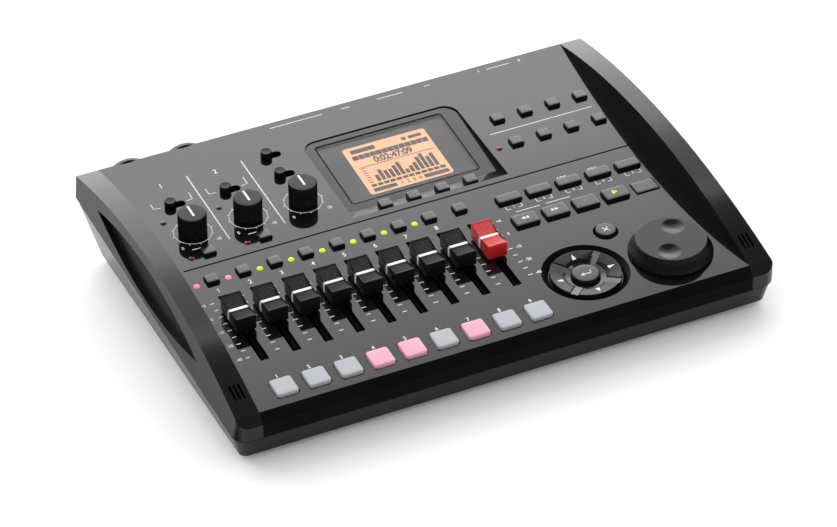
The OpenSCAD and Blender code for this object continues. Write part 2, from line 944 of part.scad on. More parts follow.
module case_screws() {
    color([0.55, 0.55, 0.57])
        on_slope() {
            for (p = screws) {
                screw_line(p[0], p[1], screw_r, seat_w - eps, under_h - 2);
                screw_line(p[0], p[1], head_r, seat_w - head_t, seat_w);
            }
            for (s = [-1, 1], v = cheek_screws)
                translate([s * (panel_x - wall), v, cheek_screw_w])
                    rotate([0, s * 90, 0]) {
                        translate([0, 0, -head_t])
                            cylinder(r = head_r, h = head_t);
                        translate([0, 0, -eps])
                            cylinder(r = screw_r, h = wall + 6);
                    }
        }
}

// Moving pieces

// Saddle-topped cap on a blade that runs in the fader body
module fader(i) {
    dip = 2.1;
    saddle_half = cap_l / 2 - 0.9;
    saddle_r = (saddle_half * saddle_half + dip * dip) / (2 * dip);
    color(i == 8 ? [0.75, 0.06, 0.05] : [0.07, 0.07, 0.08])
        on_slope()
            translate([tracks[i], fader_v + cap_dv, 0]) {
                difference() {
                    translate([0, 0, panel_h + 1])
                        linear_extrude(cap_h - 1)
                            rrect(cap_x, cap_l, 0.6);
                    translate([0, 0, panel_h + cap_h - dip + saddle_r])
                        rotate([0, 90, 0])
                            cylinder(r = saddle_r, h = 40, center = true, $fn = 90);
                }
                translate([-1, -2, 3])
                    cube([2, 4, panel_h - 1.5]);
            }
}

module pad(i) {
    color(i == 4 || i == 5 || i == 7 ? [0.95, 0.55, 0.65] : [0.78, 0.80, 0.83])
        on_slope()
            key_cap(tracks[i - 1], pad_v, pad_x, pad_l, 2, pad_h);
}

module knob(i) {
    color([0.07, 0.07, 0.08])
        on_slope()
            translate([knobs[i], knob_v, 0]) {
                translate([0, 0, panel_h + 0.4])
                    cylinder(r = knob_r, h = knob_h - 1);
                translate([0, 0, panel_h + knob_h - 0.6 - eps])
                    cylinder(r1 = knob_r, r2 = knob_r - 0.6, h = 0.6 + eps);
                translate([0, 0, 1.5])
                    cylinder(r = shaft_r, h = panel_h);
            }
}

module gain_knob_1() {
    knob(0);
}

module gain_knob_2() {
    knob(1);
}

module mix_knob() {
    knob(2);
}

// Dial with a leaning skirt and two finger dimples in its flat top
module jog_dial() {
    dimple = 1.4;
    dimple_r = 10.4;
    color([0.09, 0.09, 0.10])
        on_slope()
            translate([dial_x, dial_v, 0]) {
                difference() {
                    translate([0, 0, panel_h + 0.4])
                        rotate_extrude()
                            polygon([
                                [0, 0], [dial_r, 0], [dial_r, 0.9],
                                [dial_top_r + 0.5, dial_h - 0.9], [dial_top_r, dial_h - 0.4],
                                [0, dial_h - 0.4]
                            ]);
                    for (a = [58, 238])
                        translate([8.9 * cos(a), 8.9 * sin(a), panel_h + dial_h - dimple + dimple_r])
                            sphere(r = dimple_r);
                }
                translate([0, 0, 1.5])
                    cylinder(r = shaft_r, h = panel_h);
            }
}

module slide_switch(i) {
    color([0.07, 0.07, 0.08])
        on_slope()
            translate([slides[i - 1][0], slides[i - 1][1], 0]) {
                translate([0, 0, panel_h + clr])
                    cylinder(r = 2.7, h = 3);
                translate([0, 0, slide_body + clr])
                    cylinder(r = stem_r, h = panel_h - slide_body);
            }
}

module cursor_key(q) {
    color([0.13, 0.13, 0.14])
        on_slope()
            translate([cursor_x, cursor_v, 0])
                difference() {
                    translate([0, 0, stem_w])
                        rotate([0, 0, 90 * q])
                            linear_extrude(panel_h + 0.2 - stem_w)
                                ring_quarter();
                    translate([0, 0, saucer_w])
                        cylinder(r1 = 0, r2 = 20, h = 20 * saucer);
                }
}

module cursor_right() {
    cursor_key(0);
}

module cursor_up() {
    cursor_key(1);
}

module cursor_left() {
    cursor_key(2);
}

module cursor_down() {
    cursor_key(3);
}

module enter_key() {
    color([0.11, 0.11, 0.12])
        on_slope()
            translate([cursor_x, cursor_v, stem_w]) {
                cylinder(r = enter_r, h = panel_h - 0.8 - stem_w);
                translate([0, 0, panel_h - 0.8 - stem_w - eps])
                    cylinder(r1 = enter_r, r2 = enter_r - 0.5, h = 0.6 + eps);
            }
}

module exit_key() {
    color([0.11, 0.11, 0.12])
        on_slope()
            translate([exit_x, exit_v, 0]) {
                translate([0, 0, lip_w])
                    cylinder(r = 6.2, h = lip_t);
                translate([0, 0, lip_w])
                    cylinder(r = 5.4, h = panel_h + 0.2 - lip_w);
                translate([0, 0, panel_h + 0.2 - eps])
                    cylinder(r1 = 5.4, r2 = 4.3, h = 1.1 + eps);
                translate([0, 0, stem_w])
                    cylinder(r = 1.6, h = lip_w - stem_w + eps);
            }
}

module transport(i, top) {
    color([0.11, 0.11, 0.12])
        on_slope()
            key_cap(wide_keys[i], transport_v, wide_x, transport_l, 0.8, top);
}

module rewind_key() {
    transport(0, key_h);
}

module forward_key() {
    transport(1, key_h);
}

module stop_key() {
    transport(2, key_h);
}

module play_key() {
    transport(3, key_h);
}

module record_key() {
    transport(4, key_h - 1);
}

module marker_keys() {
    color([0.11, 0.11, 0.12])
        on_slope()
            for (x = wide_keys)
                key_cap(x, marker_v, wide_x, key_l, 0.6, key_h);
}

module function_keys() {
    color([0.11, 0.11, 0.12])
        on_slope()
            for (p = functions)
                key_cap(p[0], p[1], key_x, key_l, 0.6, key_h);
}

// Keys along the display sill, without a lip because the tray lies close behind them
module soft_keys() {
    color([0.11, 0.11, 0.12])
        on_slope()
            for (x = soft_x)
                translate([x, soft_v, stem_w])
                    linear_extrude(panel_h + key_h - 1 - stem_w)
                        rrect(key_x, key_l, 0.6);
}

module track_keys() {
    color([0.11, 0.11, 0.12])
        on_slope()
            for (x = tracks)
                key_cap(x, track_key_v, key_x, key_l, 0.6, key_h);
}

module input_keys() {
    color([0.11, 0.11, 0.12])
        on_slope()
            for (i = [0, 1])
                key_cap(knobs[i] + input_key_dx, input_key_v, key_x, key_l, 0.6, key_h);
}

module power_switch() {
    color([0.10, 0.10, 0.11])
        translate([power_x - (power_t + power_w) / 2, rear_y - wall, power_z - 1.6])
            cube([power_w, wall + 1.6, 3.2]);
}

top_case();
bottom_case();
left_cheek();
right_cheek();
display_window();
display_module();
control_board();
main_board();
fader_tracks();
rotary_bodies();
switch_bodies();
input_jacks();
rear_sockets();
status_lamps();
mic_capsules();
rubber_feet();
case_screws();
for (i = [1:8])
    fader(i - 1);
fader(8);  // master_fader
for (i = [1:9])
    pad(i);
gain_knob_1();
gain_knob_2();
mix_knob();
jog_dial();
for (i = [1:4])
    slide_switch(i);
cursor_right();
cursor_up();
cursor_left();
cursor_down();
enter_key();
exit_key();
rewind_key();
forward_key();
stop_key();
play_key();
record_key();
marker_keys();
function_keys();
soft_keys();
track_keys();
input_keys();
power_switch();
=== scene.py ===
import math

import bpy
import numpy as np
from mathutils import Matrix


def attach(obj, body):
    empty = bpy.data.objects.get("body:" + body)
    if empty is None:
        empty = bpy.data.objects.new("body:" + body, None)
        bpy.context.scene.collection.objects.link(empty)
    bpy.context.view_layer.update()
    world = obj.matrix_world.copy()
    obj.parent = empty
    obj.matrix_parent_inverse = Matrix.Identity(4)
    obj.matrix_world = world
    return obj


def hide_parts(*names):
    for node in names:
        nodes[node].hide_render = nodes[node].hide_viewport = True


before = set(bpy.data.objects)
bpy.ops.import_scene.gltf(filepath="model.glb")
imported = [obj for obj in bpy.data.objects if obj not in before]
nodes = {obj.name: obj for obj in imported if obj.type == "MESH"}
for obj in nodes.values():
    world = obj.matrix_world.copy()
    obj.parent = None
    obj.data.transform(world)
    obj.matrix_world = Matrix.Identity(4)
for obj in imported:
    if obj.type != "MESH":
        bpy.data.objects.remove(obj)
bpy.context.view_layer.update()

# Lower shell: the wedge under the parting line, injection moulded in black ABS with a fine
# spark texture. Six screws go up through its posts into the upper shell.
MM, GRAIN_DEEP = 0.001, 0.2
CASE_D, TILT = 190.0, math.radians(7.0)
PANEL, BEVEL, PART_Z = 10.75, 4.0, 13.0
FRONT_Y = (PANEL - BEVEL) * math.sin(TILT) - CASE_D / 2
SLOPE = (0.0, -math.sin(TILT), math.cos(TILT))
PLANE_W = FRONT_Y * math.sin(TILT) - PART_Z * math.cos(TILT)
SHADE_BAND_END, SHADE_BAND_FADE, BASE_COAT = -1.0, 0.1, 0.48


def mould_grain_group():
    """Moulded surface: coarse noise shades the colour and the roughness, fine noise gives the height,
    and the clear coat is Polish on faces square to the panel, down to none where the cosine of their lean
    is Least; the leaning faces that go without it read darker, painted shade on the sides."""
    group = bpy.data.node_groups.new("mould_grain", "ShaderNodeTree")
    for name, kind, value in (
        ("Dark", "NodeSocketColor", (0.02, 0.02, 0.02, 1)),
        ("Light", "NodeSocketColor", (0.03, 0.03, 0.03, 1)),
        ("Grain", "NodeSocketFloat", 3000.0),
        ("Smooth", "NodeSocketFloat", 0.2),
        ("Rough", "NodeSocketFloat", 0.3),
        ("Polish", "NodeSocketFloat", 1.0),
        ("Least", "NodeSocketFloat", 0.972),
    ):
        group.interface.new_socket(name, in_out="INPUT", socket_type=kind).default_value = value
    group.interface.new_socket("Colour", in_out="OUTPUT", socket_type="NodeSocketColor")
    for name in ("Roughness", "Height", "CoatAndSideShade"):
        group.interface.new_socket(name, in_out="OUTPUT", socket_type="NodeSocketFloat")
    new, link = group.nodes.new, group.links.new
    given, out = new("NodeGroupInput"), new("NodeGroupOutput")
    where = new("ShaderNodeTexCoord")
    cloud = new("ShaderNodeTexNoise")
    cloud.inputs["Scale"].default_value = 60.0
    cloud.inputs["Detail"].default_value = 5.0
    fine = new("ShaderNodeTexNoise")
    fine.inputs["Detail"].default_value = 2.0
    shade = new("ShaderNodeMix")
    shade.data_type = "RGBA"
    gloss = new("ShaderNodeMapRange")
    gloss.inputs["From Min"].default_value = 0.3
    gloss.inputs["From Max"].default_value = 0.7
    facing = new("ShaderNodeVectorMath")
    facing.operation = "DOT_PRODUCT"
    facing.inputs[1].default_value = SLOPE
    coat_and_side_shade = new("ShaderNodeMapRange")
    coat_and_side_shade.inputs["From Max"].default_value = 0.995
    link(where.outputs["Object"], cloud.inputs["Vector"])
    link(where.outputs["Object"], fine.inputs["Vector"])
    link(where.outputs["Normal"], facing.inputs[0])
    link(given.outputs["Grain"], fine.inputs["Scale"])
    link(cloud.outputs["Fac"], shade.inputs["Factor"])
    link(given.outputs["Dark"], shade.inputs["A"])
    link(given.outputs["Light"], shade.inputs["B"])
    link(cloud.outputs["Fac"], gloss.inputs["Value"])
    link(given.outputs["Smooth"], gloss.inputs["To Min"])
    link(given.outputs["Rough"], gloss.inputs["To Max"])
    link(facing.outputs["Value"], coat_and_side_shade.inputs["Value"])
    link(given.outputs["Least"], coat_and_side_shade.inputs["From Min"])
    link(given.outputs["Polish"], coat_and_side_shade.inputs["To Max"])
    link(shade.outputs["Result"], out.inputs["Colour"])
    link(gloss.outputs["Result"], out.inputs["Roughness"])
    link(fine.outputs["Fac"], out.inputs["Height"])
    link(coat_and_side_shade.outputs["Result"], out.inputs["CoatAndSideShade"])
    return group


grain = mould_grain_group()


def finish(name, dark, light, rough, scale=3000.0, bump=0.04, polish=0.0, least=0.972, **sockets):
    """Moulded or metal finish: the grain group between two colours and two roughnesses, with a bump;
    with a polish, faces square to the panel carry a clear coat of that weight, which is gone where the
    cosine of their lean is down to least, so that leaning sides read darker: painted shade."""
    material = bpy.data.materials.new(name)
    material.use_nodes = True
    tree = material.node_tree
    skin = tree.nodes["Principled BSDF"]
    made = tree.nodes.new("ShaderNodeGroup")
    made.node_tree = grain
    made.inputs["Dark"].default_value = (*dark, 1)
    made.inputs["Light"].default_value = (*light, 1)
    made.inputs["Grain"].default_value = scale
    made.inputs["Smooth"].default_value, made.inputs["Rough"].default_value = rough
    relief = tree.nodes.new("ShaderNodeBump")
    relief.inputs["Strength"].default_value = bump
    relief.inputs["Distance"].default_value = GRAIN_DEEP * MM
    tree.links.new(made.outputs["Colour"], skin.inputs["Base Color"])
    tree.links.new(made.outputs["Roughness"], skin.inputs["Roughness"])
    tree.links.new(made.outputs["Height"], relief.inputs["Height"])
    tree.links.new(relief.outputs["Normal"], skin.inputs["Normal"])
    if polish:
        made.inputs["Polish"].default_value = polish
        made.inputs["Least"].default_value = least
        tree.links.new(made.outputs["CoatAndSideShade"], skin.inputs["Coat Weight"])
    for socket, value in sockets.items():
        skin.inputs[socket.replace("_", " ")].default_value = value
    return material


def dress(material, *names):
    """Gives CAD nodes a material in place of their own."""
    for name in names:
        nodes[name].data.materials.clear()
        nodes[name].data.materials.append(material)


def mask_group(name):
    """Group without nodes yet that puts out one weight."""
    group = bpy.data.node_groups.new(name, "ShaderNodeTree")
    group.interface.new_socket("Weight", in_out="OUTPUT", socket_type="NodeSocketFloat")
    return group


def plane_fade(group, square, offset, start, end, low, high):
    """Nodes of a group that go from low to high between two distances from a plane, mirrored in x; the
    plane is given by its normal and by its offset from the origin."""
    new, link = group.nodes.new, group.links.new
    where = new("ShaderNodeTexCoord")
    split, join = new("ShaderNodeSeparateXYZ"), new("ShaderNodeCombineXYZ")
    side = new("ShaderNodeMath")
    side.operation = "ABSOLUTE"
    away = new("ShaderNodeVectorMath")
    away.operation = "DOT_PRODUCT"
    away.inputs[1].default_value = square
    fade = new("ShaderNodeMapRange")
    fade.inputs["From Min"].default_value = (start - offset) * MM
    fade.inputs["From Max"].default_value = (end - offset) * MM
    fade.inputs["To Min"].default_value = low
    fade.inputs["To Max"].default_value = high
    link(where.outputs["Object"], split.inputs[0])
    link(split.outputs["X"], side.inputs[0])
    link(side.outputs[0], join.inputs["X"])
    link(split.outputs["Y"], join.inputs["Y"])
    link(split.outputs["Z"], join.inputs["Z"])
    link(join.outputs[0], away.inputs[0])
    link(away.outputs["Value"], fade.inputs["Value"])
    return fade.outputs["Result"]


def shadow_line_group():
    """Coat of the lower shell: none in a band under the parting line, painted shade of the gap, and the full
    weight below it.
    """
    group = mask_group("shadow_line")
    weight = plane_fade(
        group, SLOPE, PLANE_W, SHADE_BAND_END + SHADE_BAND_FADE, SHADE_BAND_END - SHADE_BAND_FADE, 0.0, BASE_COAT
    )
    group.links.new(weight, group.nodes.new("NodeGroupOutput").inputs["Weight"])
    return group


def coat(material, group):
    """Clear coat of the material, weighted by a mask group."""
    tree = material.node_tree
    mask = tree.nodes.new("ShaderNodeGroup")
    mask.node_tree = group
    tree.links.new(mask.outputs["Weight"], tree.nodes["Principled BSDF"].inputs["Coat Weight"])


base_black = finish(
    "base_black", (0.004, 0.004, 0.005), (0.007, 0.007, 0.008), (0.3, 0.4), bump=0.06,
    Specular_IOR_Level=0.04, Coat_Roughness=0.22,
)
# The real step at the parting line is darkened further by the coat-free band under it: painted shade of the
# gap.
coat(base_black, shadow_line_group())
dress(base_black, "bottom_case")

# Feet: four discs of moulded black rubber with a dull surface, stuck under the corners of the
# lower shell.
foot_rubber = finish("foot_rubber", (0.012, 0.012, 0.012), (0.02, 0.02, 0.02), (0.7, 0.85), bump=0.3)
dress(foot_rubber, "rubber_feet")

# Boards and what is soldered to them: green solder mask, black switch bodies, blackened steel
# slide pots and plain steel pots, all hidden under the panel or glimpsed through its slots.
solder_mask = finish("solder_mask", (0.005, 0.045, 0.02), (0.01, 0.07, 0.03), (0.3, 0.45), 900.0, 0.2)
pot_steel = finish("pot_steel", (0.30, 0.30, 0.31), (0.42, 0.42, 0.43), (0.3, 0.45), Metallic=1.0)
track_black = finish("track_black", (0.008, 0.008, 0.008), (0.014, 0.014, 0.014), (0.5, 0.7))
switch_black = finish("switch_black", (0.012, 0.012, 0.012), (0.022, 0.022, 0.022), (0.4, 0.55))
dress(solder_mask, "control_board", "main_board")
dress(pot_steel, "rotary_bodies", "mic_capsules")
dress(track_black, "fader_tracks")
dress(switch_black, "switch_bodies")

# Screws: zinc plated steel with pan heads. Six go up through the lower shell's wells and six hold
# the cheeks from inside.
zinc = finish("zinc", (0.42, 0.43, 0.45), (0.55, 0.56, 0.58), (0.25, 0.4), 1500.0, 0.1, Metallic=1.0)
dress(zinc, "case_screws")

# Rear sockets and input jacks: bodies of black glass-filled nylon, fixed to the rear board and let
# through the rear wall. The sockets have hexagon nuts and the jacks have round flanges.
jack_nylon = finish("jack_nylon", (0.010, 0.010, 0.011), (0.018, 0.018, 0.019), (0.3, 0.45), bump=0.15)
dress(jack_nylon, "input_jacks", "rear_sockets")

# Upper shell: one moulding in black ABS, polished on the panel so that it mirrors the studio's
# backdrop and the controls that stand on it.
# Faces that lean away from the panel, such as the front bevel, lose the coat and read darker: painted shade.
panel_black = finish(
    "panel_black", (0.003, 0.003, 0.004), (0.006, 0.006, 0.007), (0.28, 0.34), 5000.0, 0.012, 1.0, 0.86,
    Specular_IOR_Level=0.02, Coat_Roughness=0.05,
)
dress(panel_black, "top_case")

# End cheeks: separate arched bars in the same black ABS, with a finger recess sunk in the flank and three
# slots over a microphone, screwed on from inside. The flank has half the coat and the recess none, so
# they read darker: painted shade.
CASE_W, LEAN = 257.0, math.radians(7.0)
GRIP_EDGE, GRIP_FADE, CHEEK_COAT = -0.45, 0.15, 0.7


def finger_recess_group():
    """Coat of the cheeks: the full weight on top, half of it on the flank and none where the flank is sunk,
    which darkens them: painted shade.
    """
    group = mask_group("finger_recess")
    new, link = group.nodes.new, group.links.new
    square = (math.cos(LEAN), math.sin(LEAN) * SLOPE[1], math.sin(LEAN) * SLOPE[2])
    offset = PLANE_W * math.sin(LEAN) - CASE_W / 2 * math.cos(LEAN)
    depth = plane_fade(group, square, offset, GRIP_EDGE + GRIP_FADE, GRIP_EDGE - GRIP_FADE, 0.5, 1.0)
    where, faces = new("ShaderNodeTexCoord"), new("ShaderNodeSeparateXYZ")
    outward = new("ShaderNodeMath")
    outward.operation = "ABSOLUTE"
    flank = new("ShaderNodeMapRange")
    flank.inputs["From Min"].default_value = 0.5
    flank.inputs["From Max"].default_value = 0.8
    sunk = new("ShaderNodeMath")
    sunk.operation = "MULTIPLY"
    weight = new("ShaderNodeMapRange")
    weight.inputs["To Min"].default_value = CHEEK_COAT
    weight.inputs["To Max"].default_value = 0.0
    link(where.outputs["Normal"], faces.inputs[0])
    link(faces.outputs["X"], outward.inputs[0])
    link(outward.outputs[0], flank.inputs["Value"])
    link(flank.outputs["Result"], sunk.inputs[0])
    link(depth, sunk.inputs[1])
    link(sunk.outputs[0], weight.inputs["Value"])
    link(weight.outputs["Result"], new("NodeGroupOutput").inputs["Weight"])
    return group


cheek_black = finish(
    "cheek_black", (0.004, 0.004, 0.005), (0.007, 0.007, 0.008), (0.25, 0.35), 4000.0, 0.02,
    Specular_IOR_Level=0.02, Coat_Roughness=0.14,
)
coat(cheek_black, finger_recess_group())
dress(cheek_black, "left_cheek", "right_cheek")

# Panel print: lines, scales and numerals in white ink, silk-screened on the panel as a thin film.
# Places run across in x and up the slope in v, in millimetres.


def on_slope(x, v, w):
    """Case frame to room: v runs up the slope from the front, w stands square on it, in metres out."""
    x, v, w = np.broadcast_arrays(x, v, w)
    y = FRONT_Y + v * math.cos(TILT) - w * math.sin(TILT)
    z = PART_Z + v * math.sin(TILT) + w * math.cos(TILT)
    return np.stack([x, y, z], -1) * MM


CREASE = math.radians(38.0)


def build(name, shapes, materials, body, stands_for=(), thick=0.0):
    """One object from (points, faces) shapes, each with its own material where several are given; a
    thick one is a flat film that gets its thickness downwards."""
    if not isinstance(materials, (list, tuple)):
        materials = [materials] * len(shapes)
    kinds = list(dict.fromkeys(materials))
    starts = np.cumsum([0] + [len(points) for points, _ in shapes])
    points = np.concatenate([points for points, _ in shapes])
    faces = [[i + start for i in face] for (_, part), start in zip(shapes, starts) for face in part]
    index = np.concatenate([np.full(len(part), kinds.index(m)) for (_, part), m in zip(shapes, materials)])
    mesh = bpy.data.meshes.new(name)
    mesh.from_pydata(points.tolist(), [], faces)
    for kind in kinds:
        mesh.materials.append(kind)
    mesh.polygons.foreach_set("material_index", index.astype(np.int32))
    if not thick:
        mesh.set_sharp_from_angle(angle=CREASE)
    mesh.update()
    piece = bpy.data.objects.new(name, mesh)
    bpy.context.scene.collection.objects.link(piece)
    if thick:
        film = piece.modifiers.new("film", "SOLIDIFY")
        film.thickness, film.offset = thick * MM, -1.0
    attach(piece, body)
    if stands_for:
        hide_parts(*stands_for)
    return piece


def ribbon(path, width):
    """Flat line of even width: each point of the path is doubled to both sides along its normal."""
    path = np.asarray(path, float)
    along = np.gradient(path, axis=0)
    along /= np.linalg.norm(along, axis=1)[:, None]
    side = np.stack([-along[:, 1], along[:, 0]], 1) * width / 2
    n = len(path)
    i = np.arange(n - 1)
    return np.concatenate([path - side, path + side]), np.stack([i, i + 1, i + 1 + n, i + n], 1).tolist()


def dash(x0, x1, v, width):
    """Straight line across the panel."""
    return ribbon([(x0, v), (x1, v)], width)


def arc(x, v, r, start, end, steps=48):
    """Points on a circle about x, v between two angles in degrees."""
    turn = np.radians(np.linspace(start, end, steps))
    return np.stack([x + r * np.cos(turn), v + r * np.sin(turn)], 1)


def outline(points):
    """One flat face inside a row of points."""
    return np.asarray(points, float), [list(range(len(points)))]


def arrow(x, v, long, half, turn=0.0):
    """Filled triangle that points along +x, turned about its middle."""
    c, s = math.cos(math.radians(turn)), math.sin(math.radians(turn))
    corners = np.array([(-long / 2, -half), (long / 2, 0), (-long / 2, half)])
    return outline(corners @ np.array([[c, s], [-s, c]]) + [x, v])


def glyphs(text, size, x, v, bold=0.02):
    """Characters of the built-in face, narrowed, filled and made a mesh, then set about x, v."""
    curve = bpy.data.curves.new("glyphs", "FONT")
    curve.body, curve.size, curve.offset = text, size, size * bold
    curve.align_x, curve.align_y = "CENTER", "CENTER"
    holder = bpy.data.objects.new("glyphs", curve)
    bpy.context.scene.collection.objects.link(holder)
    bpy.context.view_layer.update()
    shown = holder.evaluated_get(bpy.context.evaluated_depsgraph_get())
    mesh = shown.to_mesh()
    narrow = 0.82
    flat = np.array([p.co[:2] for p in mesh.vertices]) * [narrow, 1.0] + [x, v]
    faces = [list(face.vertices) for face in mesh.polygons]
    shown.to_mesh_clear()
    bpy.data.objects.remove(holder)
    bpy.data.curves.remove(curve)
    return flat, faces


def lay(shape, height):
    """Flat shape set on the slope at a height that may depend on v."""
    flat, faces = shape
    w = height(flat[:, 1]) if callable(height) else height
    return on_slope(flat[:, 0], flat[:, 1], w), faces


PITCH, KNOB_PITCH = 14.9, 26.6
FIRST_TRACK, FIRST_KNOB, FIRST_WIDE = -100.5, -95.0, 41.7
TRACKS = FIRST_TRACK + PITCH * np.arange(9)
KNOBS, KNOB_V = FIRST_KNOB + KNOB_PITCH * np.arange(3), 129.4
WIDE = FIRST_WIDE + PITCH * np.arange(5)
INK, INK_THICK = PANEL + 0.03, 0.06
HAIR, THIN, LINE, RULE, BOLD = 0.3, 0.35, 0.4, 0.45, 0.5
SMALL_TEXT, LEVEL_TEXT, MARKER_TEXT = 2.7, 2.6, 2.4
INPUT_TEXT, TRACK_TEXT, PAD_TEXT = 4.2, 3.8, 3.2

INPUT_RULES_X, INPUT_RULES_V = (-82.1, -55.45), (117.9, 168.9)
FUNCTION_RULE = (55.3, 107.6, 138.8)
REAR_V = 186.0
REAR_DASHES = ((-34, -8), (2, 6), (20, 33), (44, 47), (76, 88))
POWER_NUMBERS = (("1", 72.0), ("0", 93.0))
marks = [ribbon([(x, v) for v in INPUT_RULES_V], BOLD) for x in INPUT_RULES_X]
marks.append(dash(*FUNCTION_RULE, RULE))
marks += [dash(x0, x1, REAR_V, LINE) for x0, x1 in REAR_DASHES]
marks += [glyphs(text, SMALL_TEXT, x, REAR_V) for text, x in POWER_NUMBERS]

SCALE_R, SCALE_OUT, SCALE_STEPS = 8.6, 9.6, 97
SCALE_TURNS = np.radians(np.arange(-90, 241, 30))
SCALE_ENDS, SCALE_ENDS_V = (("0", -8.4), ("10", 8.8)), KNOB_V - 9.2
for x in KNOBS:
    middle = np.array([x, KNOB_V])
    marks.append(ribbon(arc(x, KNOB_V, SCALE_R, 0, 360, SCALE_STEPS), HAIR))
    for turn in SCALE_TURNS:
        ray = np.array([math.cos(turn), math.sin(turn)])
        marks.append(ribbon([middle + ray * SCALE_R, middle + ray * SCALE_OUT], THIN))
    marks += [glyphs(text, SMALL_TEXT, x + aside, SCALE_ENDS_V) for text, aside in SCALE_ENDS]

INPUT_NUMBERS = (("1", -95.4, 166.4), ("2", -69.1, 166.3))
RIGHT_HOOK = np.array([(9.1, 157.0), (9.1, 152.1), (6.0, 151.6)])
LEFT_HOOK = np.array([(-9.6, 156.0), (-9.6, 152.1), (-6.4, 151.6)])
INPUT_DASH, INPUT_DASH_V = (-5.0, -0.2), 117.6
marks += [glyphs(text, INPUT_TEXT, x, v) for text, x, v in INPUT_NUMBERS]
for x in KNOBS[:2]:
    marks += [ribbon(hook + [x, 0.0], LINE) for hook in (RIGHT_HOOK, LEFT_HOOK)]
    marks.append(dash(x + INPUT_DASH[0], x + INPUT_DASH[1], INPUT_DASH_V, BOLD))

LEVELS_V = np.arange(39.0, 80.0, 5.0)
LEVELS = ("-40", "-20", "-10", "0", "+6")
TICK_HALF, TICK_BACK, LAST_GAP, FIRST_TICK = 1.1, 7.4, 15.6, np.array([-7.2, -5.2])
LEVELS_X = (TRACKS[0] - 10.2, TRACKS[-1] + 12.2)
TRACK_NUMBERS_V, PAD_NUMBERS_V = 86.2, 22.4
between = np.append(TRACKS[1:], TRACKS[-1] + LAST_GAP) - TICK_BACK
ticks = [(x - TICK_HALF, x + TICK_HALF) for x in between] + [TRACKS[0] + FIRST_TICK]
marks += [dash(x0, x1, v, BOLD) for x0, x1 in ticks for v in LEVELS_V]
marks += [glyphs(text, LEVEL_TEXT, x, v) for x in LEVELS_X for text, v in zip(LEVELS, LEVELS_V[::2])]
marks += [glyphs(str(number), TRACK_TEXT, x, TRACK_NUMBERS_V) for number, x in enumerate(TRACKS[:8], 1)]
marks += [glyphs(str(number), PAD_TEXT, x, PAD_NUMBERS_V) for number, x in enumerate(TRACKS, 1)]

MARKER_SIGNS_V = 85.8
JUMPS, JUMP_ARROWS = ((70.8, -1), (85.6, 1)), (-0.9, 0.8)
JUMP_V, JUMP_LONG, JUMP_HALF, JUMP_BAR = 96.2, 1.7, 0.8, 2.1
JOIN_V, JOIN_STARTS, JOIN_LONG = 81.8, (40.6, 55.5), 12.0
BRACKET = np.array([(-3.8, 1.2), (-3.8, -1.2), (-2.0, -1.2)])
for number, x in enumerate(WIDE, 1):
    marks += [ribbon(BRACKET * [s, 1] + [x, MARKER_SIGNS_V], LINE) for s in (1, -1)]
    marks.append(glyphs(str(number), MARKER_TEXT, x, MARKER_SIGNS_V))
marks += [dash(x, x + JOIN_LONG, JOIN_V, LINE) for x in JOIN_STARTS]
for x, s in JUMPS:
    turn = 0 if s > 0 else 180
    marks += [arrow(x + a * s, JUMP_V, JUMP_LONG, JUMP_HALF, turn) for a in JUMP_ARROWS]
    marks.append(ribbon([(x + JUMP_BAR * s, JUMP_V + a) for a in (-JUMP_HALF, JUMP_HALF)], LINE))

ink_white = finish("ink_white", (0.72, 0.72, 0.72), (0.79, 0.79, 0.79), (0.45, 0.6), 2500.0, 0.05)
build("panel_print", [lay(mark, INK) for mark in marks], ink_white, "case", thick=INK_THICK)

# Display: a backlit liquid-crystal module under the recess floor. The lit plate glows orange, and
# the dark segments, a counter and level bars, lie just over it.
FLOOR_B, DISP_B, DISP_SLOPE = 10.15, 168.5, math.tan(math.radians(3.4))


def under_floor(depth):
    """Height of a plane that runs parallel to the recess floor, at a depth under it."""
    return lambda v: FLOOR_B - (DISP_B - v) * DISP_SLOPE - depth


def lit(material):
    """Lets the material's own grain colour glow."""
    tree = material.node_tree
    made, skin = tree.nodes["Group"], tree.nodes["Principled BSDF"]
    tree.links.new(made.outputs["Colour"], skin.inputs["Emission Color"])
    return material


backlight = lit(finish(
    "backlight", (0.91, 0.42, 0.18), (0.98, 0.58, 0.32), (0.4, 0.5), 800.0, 0.0, Emission_Strength=0.75
))
dress(backlight, "display_module")


def bar(x0, v0, x1, v1):
    """Filled rectangle between two corners."""
    return outline([(x0, v0), (x1, v0), (x1, v1), (x0, v1)])


TEXT_L, TEXT_R, TEXT_BOLD = -7.6, 29.6, 0.035
SEGMENT_DEPTH, SEGMENT_THICK = 2.13, 0.05
STATUS_BARS = ((-6.8, 154.9, 5.2, 157.6), (18.6, 155.2, 20.8, 157.2), (22.0, 155.2, 28.4, 157.2))
CELLS, CELL_PITCH, CELL_WIDE, CELLS_V = 13, 2.9, 2.7, (150.4, 153.4)
COUNTER, COUNTER_TEXT, COUNTER_X, COUNTER_V = "0:02:47:09", 5.6, 10.6, 147.6
DIVIDER_V = (144.6, 145.0)
LEVEL_BARS = (3, 5, 4, 4, 5, 6, 2, 3, 4, 6, 7, 5, 6)
LEVEL_X, LEVEL_PITCH, LEVEL_WIDE, LEVEL_FOOT, LEVEL_STEP = -3.2, 2.4, 1.8, 133.2, 1.5
GAUGE_X, GAUGE_V, GAUGE_HIGH = (-7.2, -5.2), np.arange(133.4, 144.0, 1.7), 0.5
FEET, FOOT_X, FOOT_PITCH, FOOT_WIDE, FEET_V = 12, -7.4, 3.1, 2.6, (130.4, 132.2)
TEMPO_BARS = ((TEXT_L, 126.9, 3.8, 129.3), (17.4, 126.9, TEXT_R, 129.3))
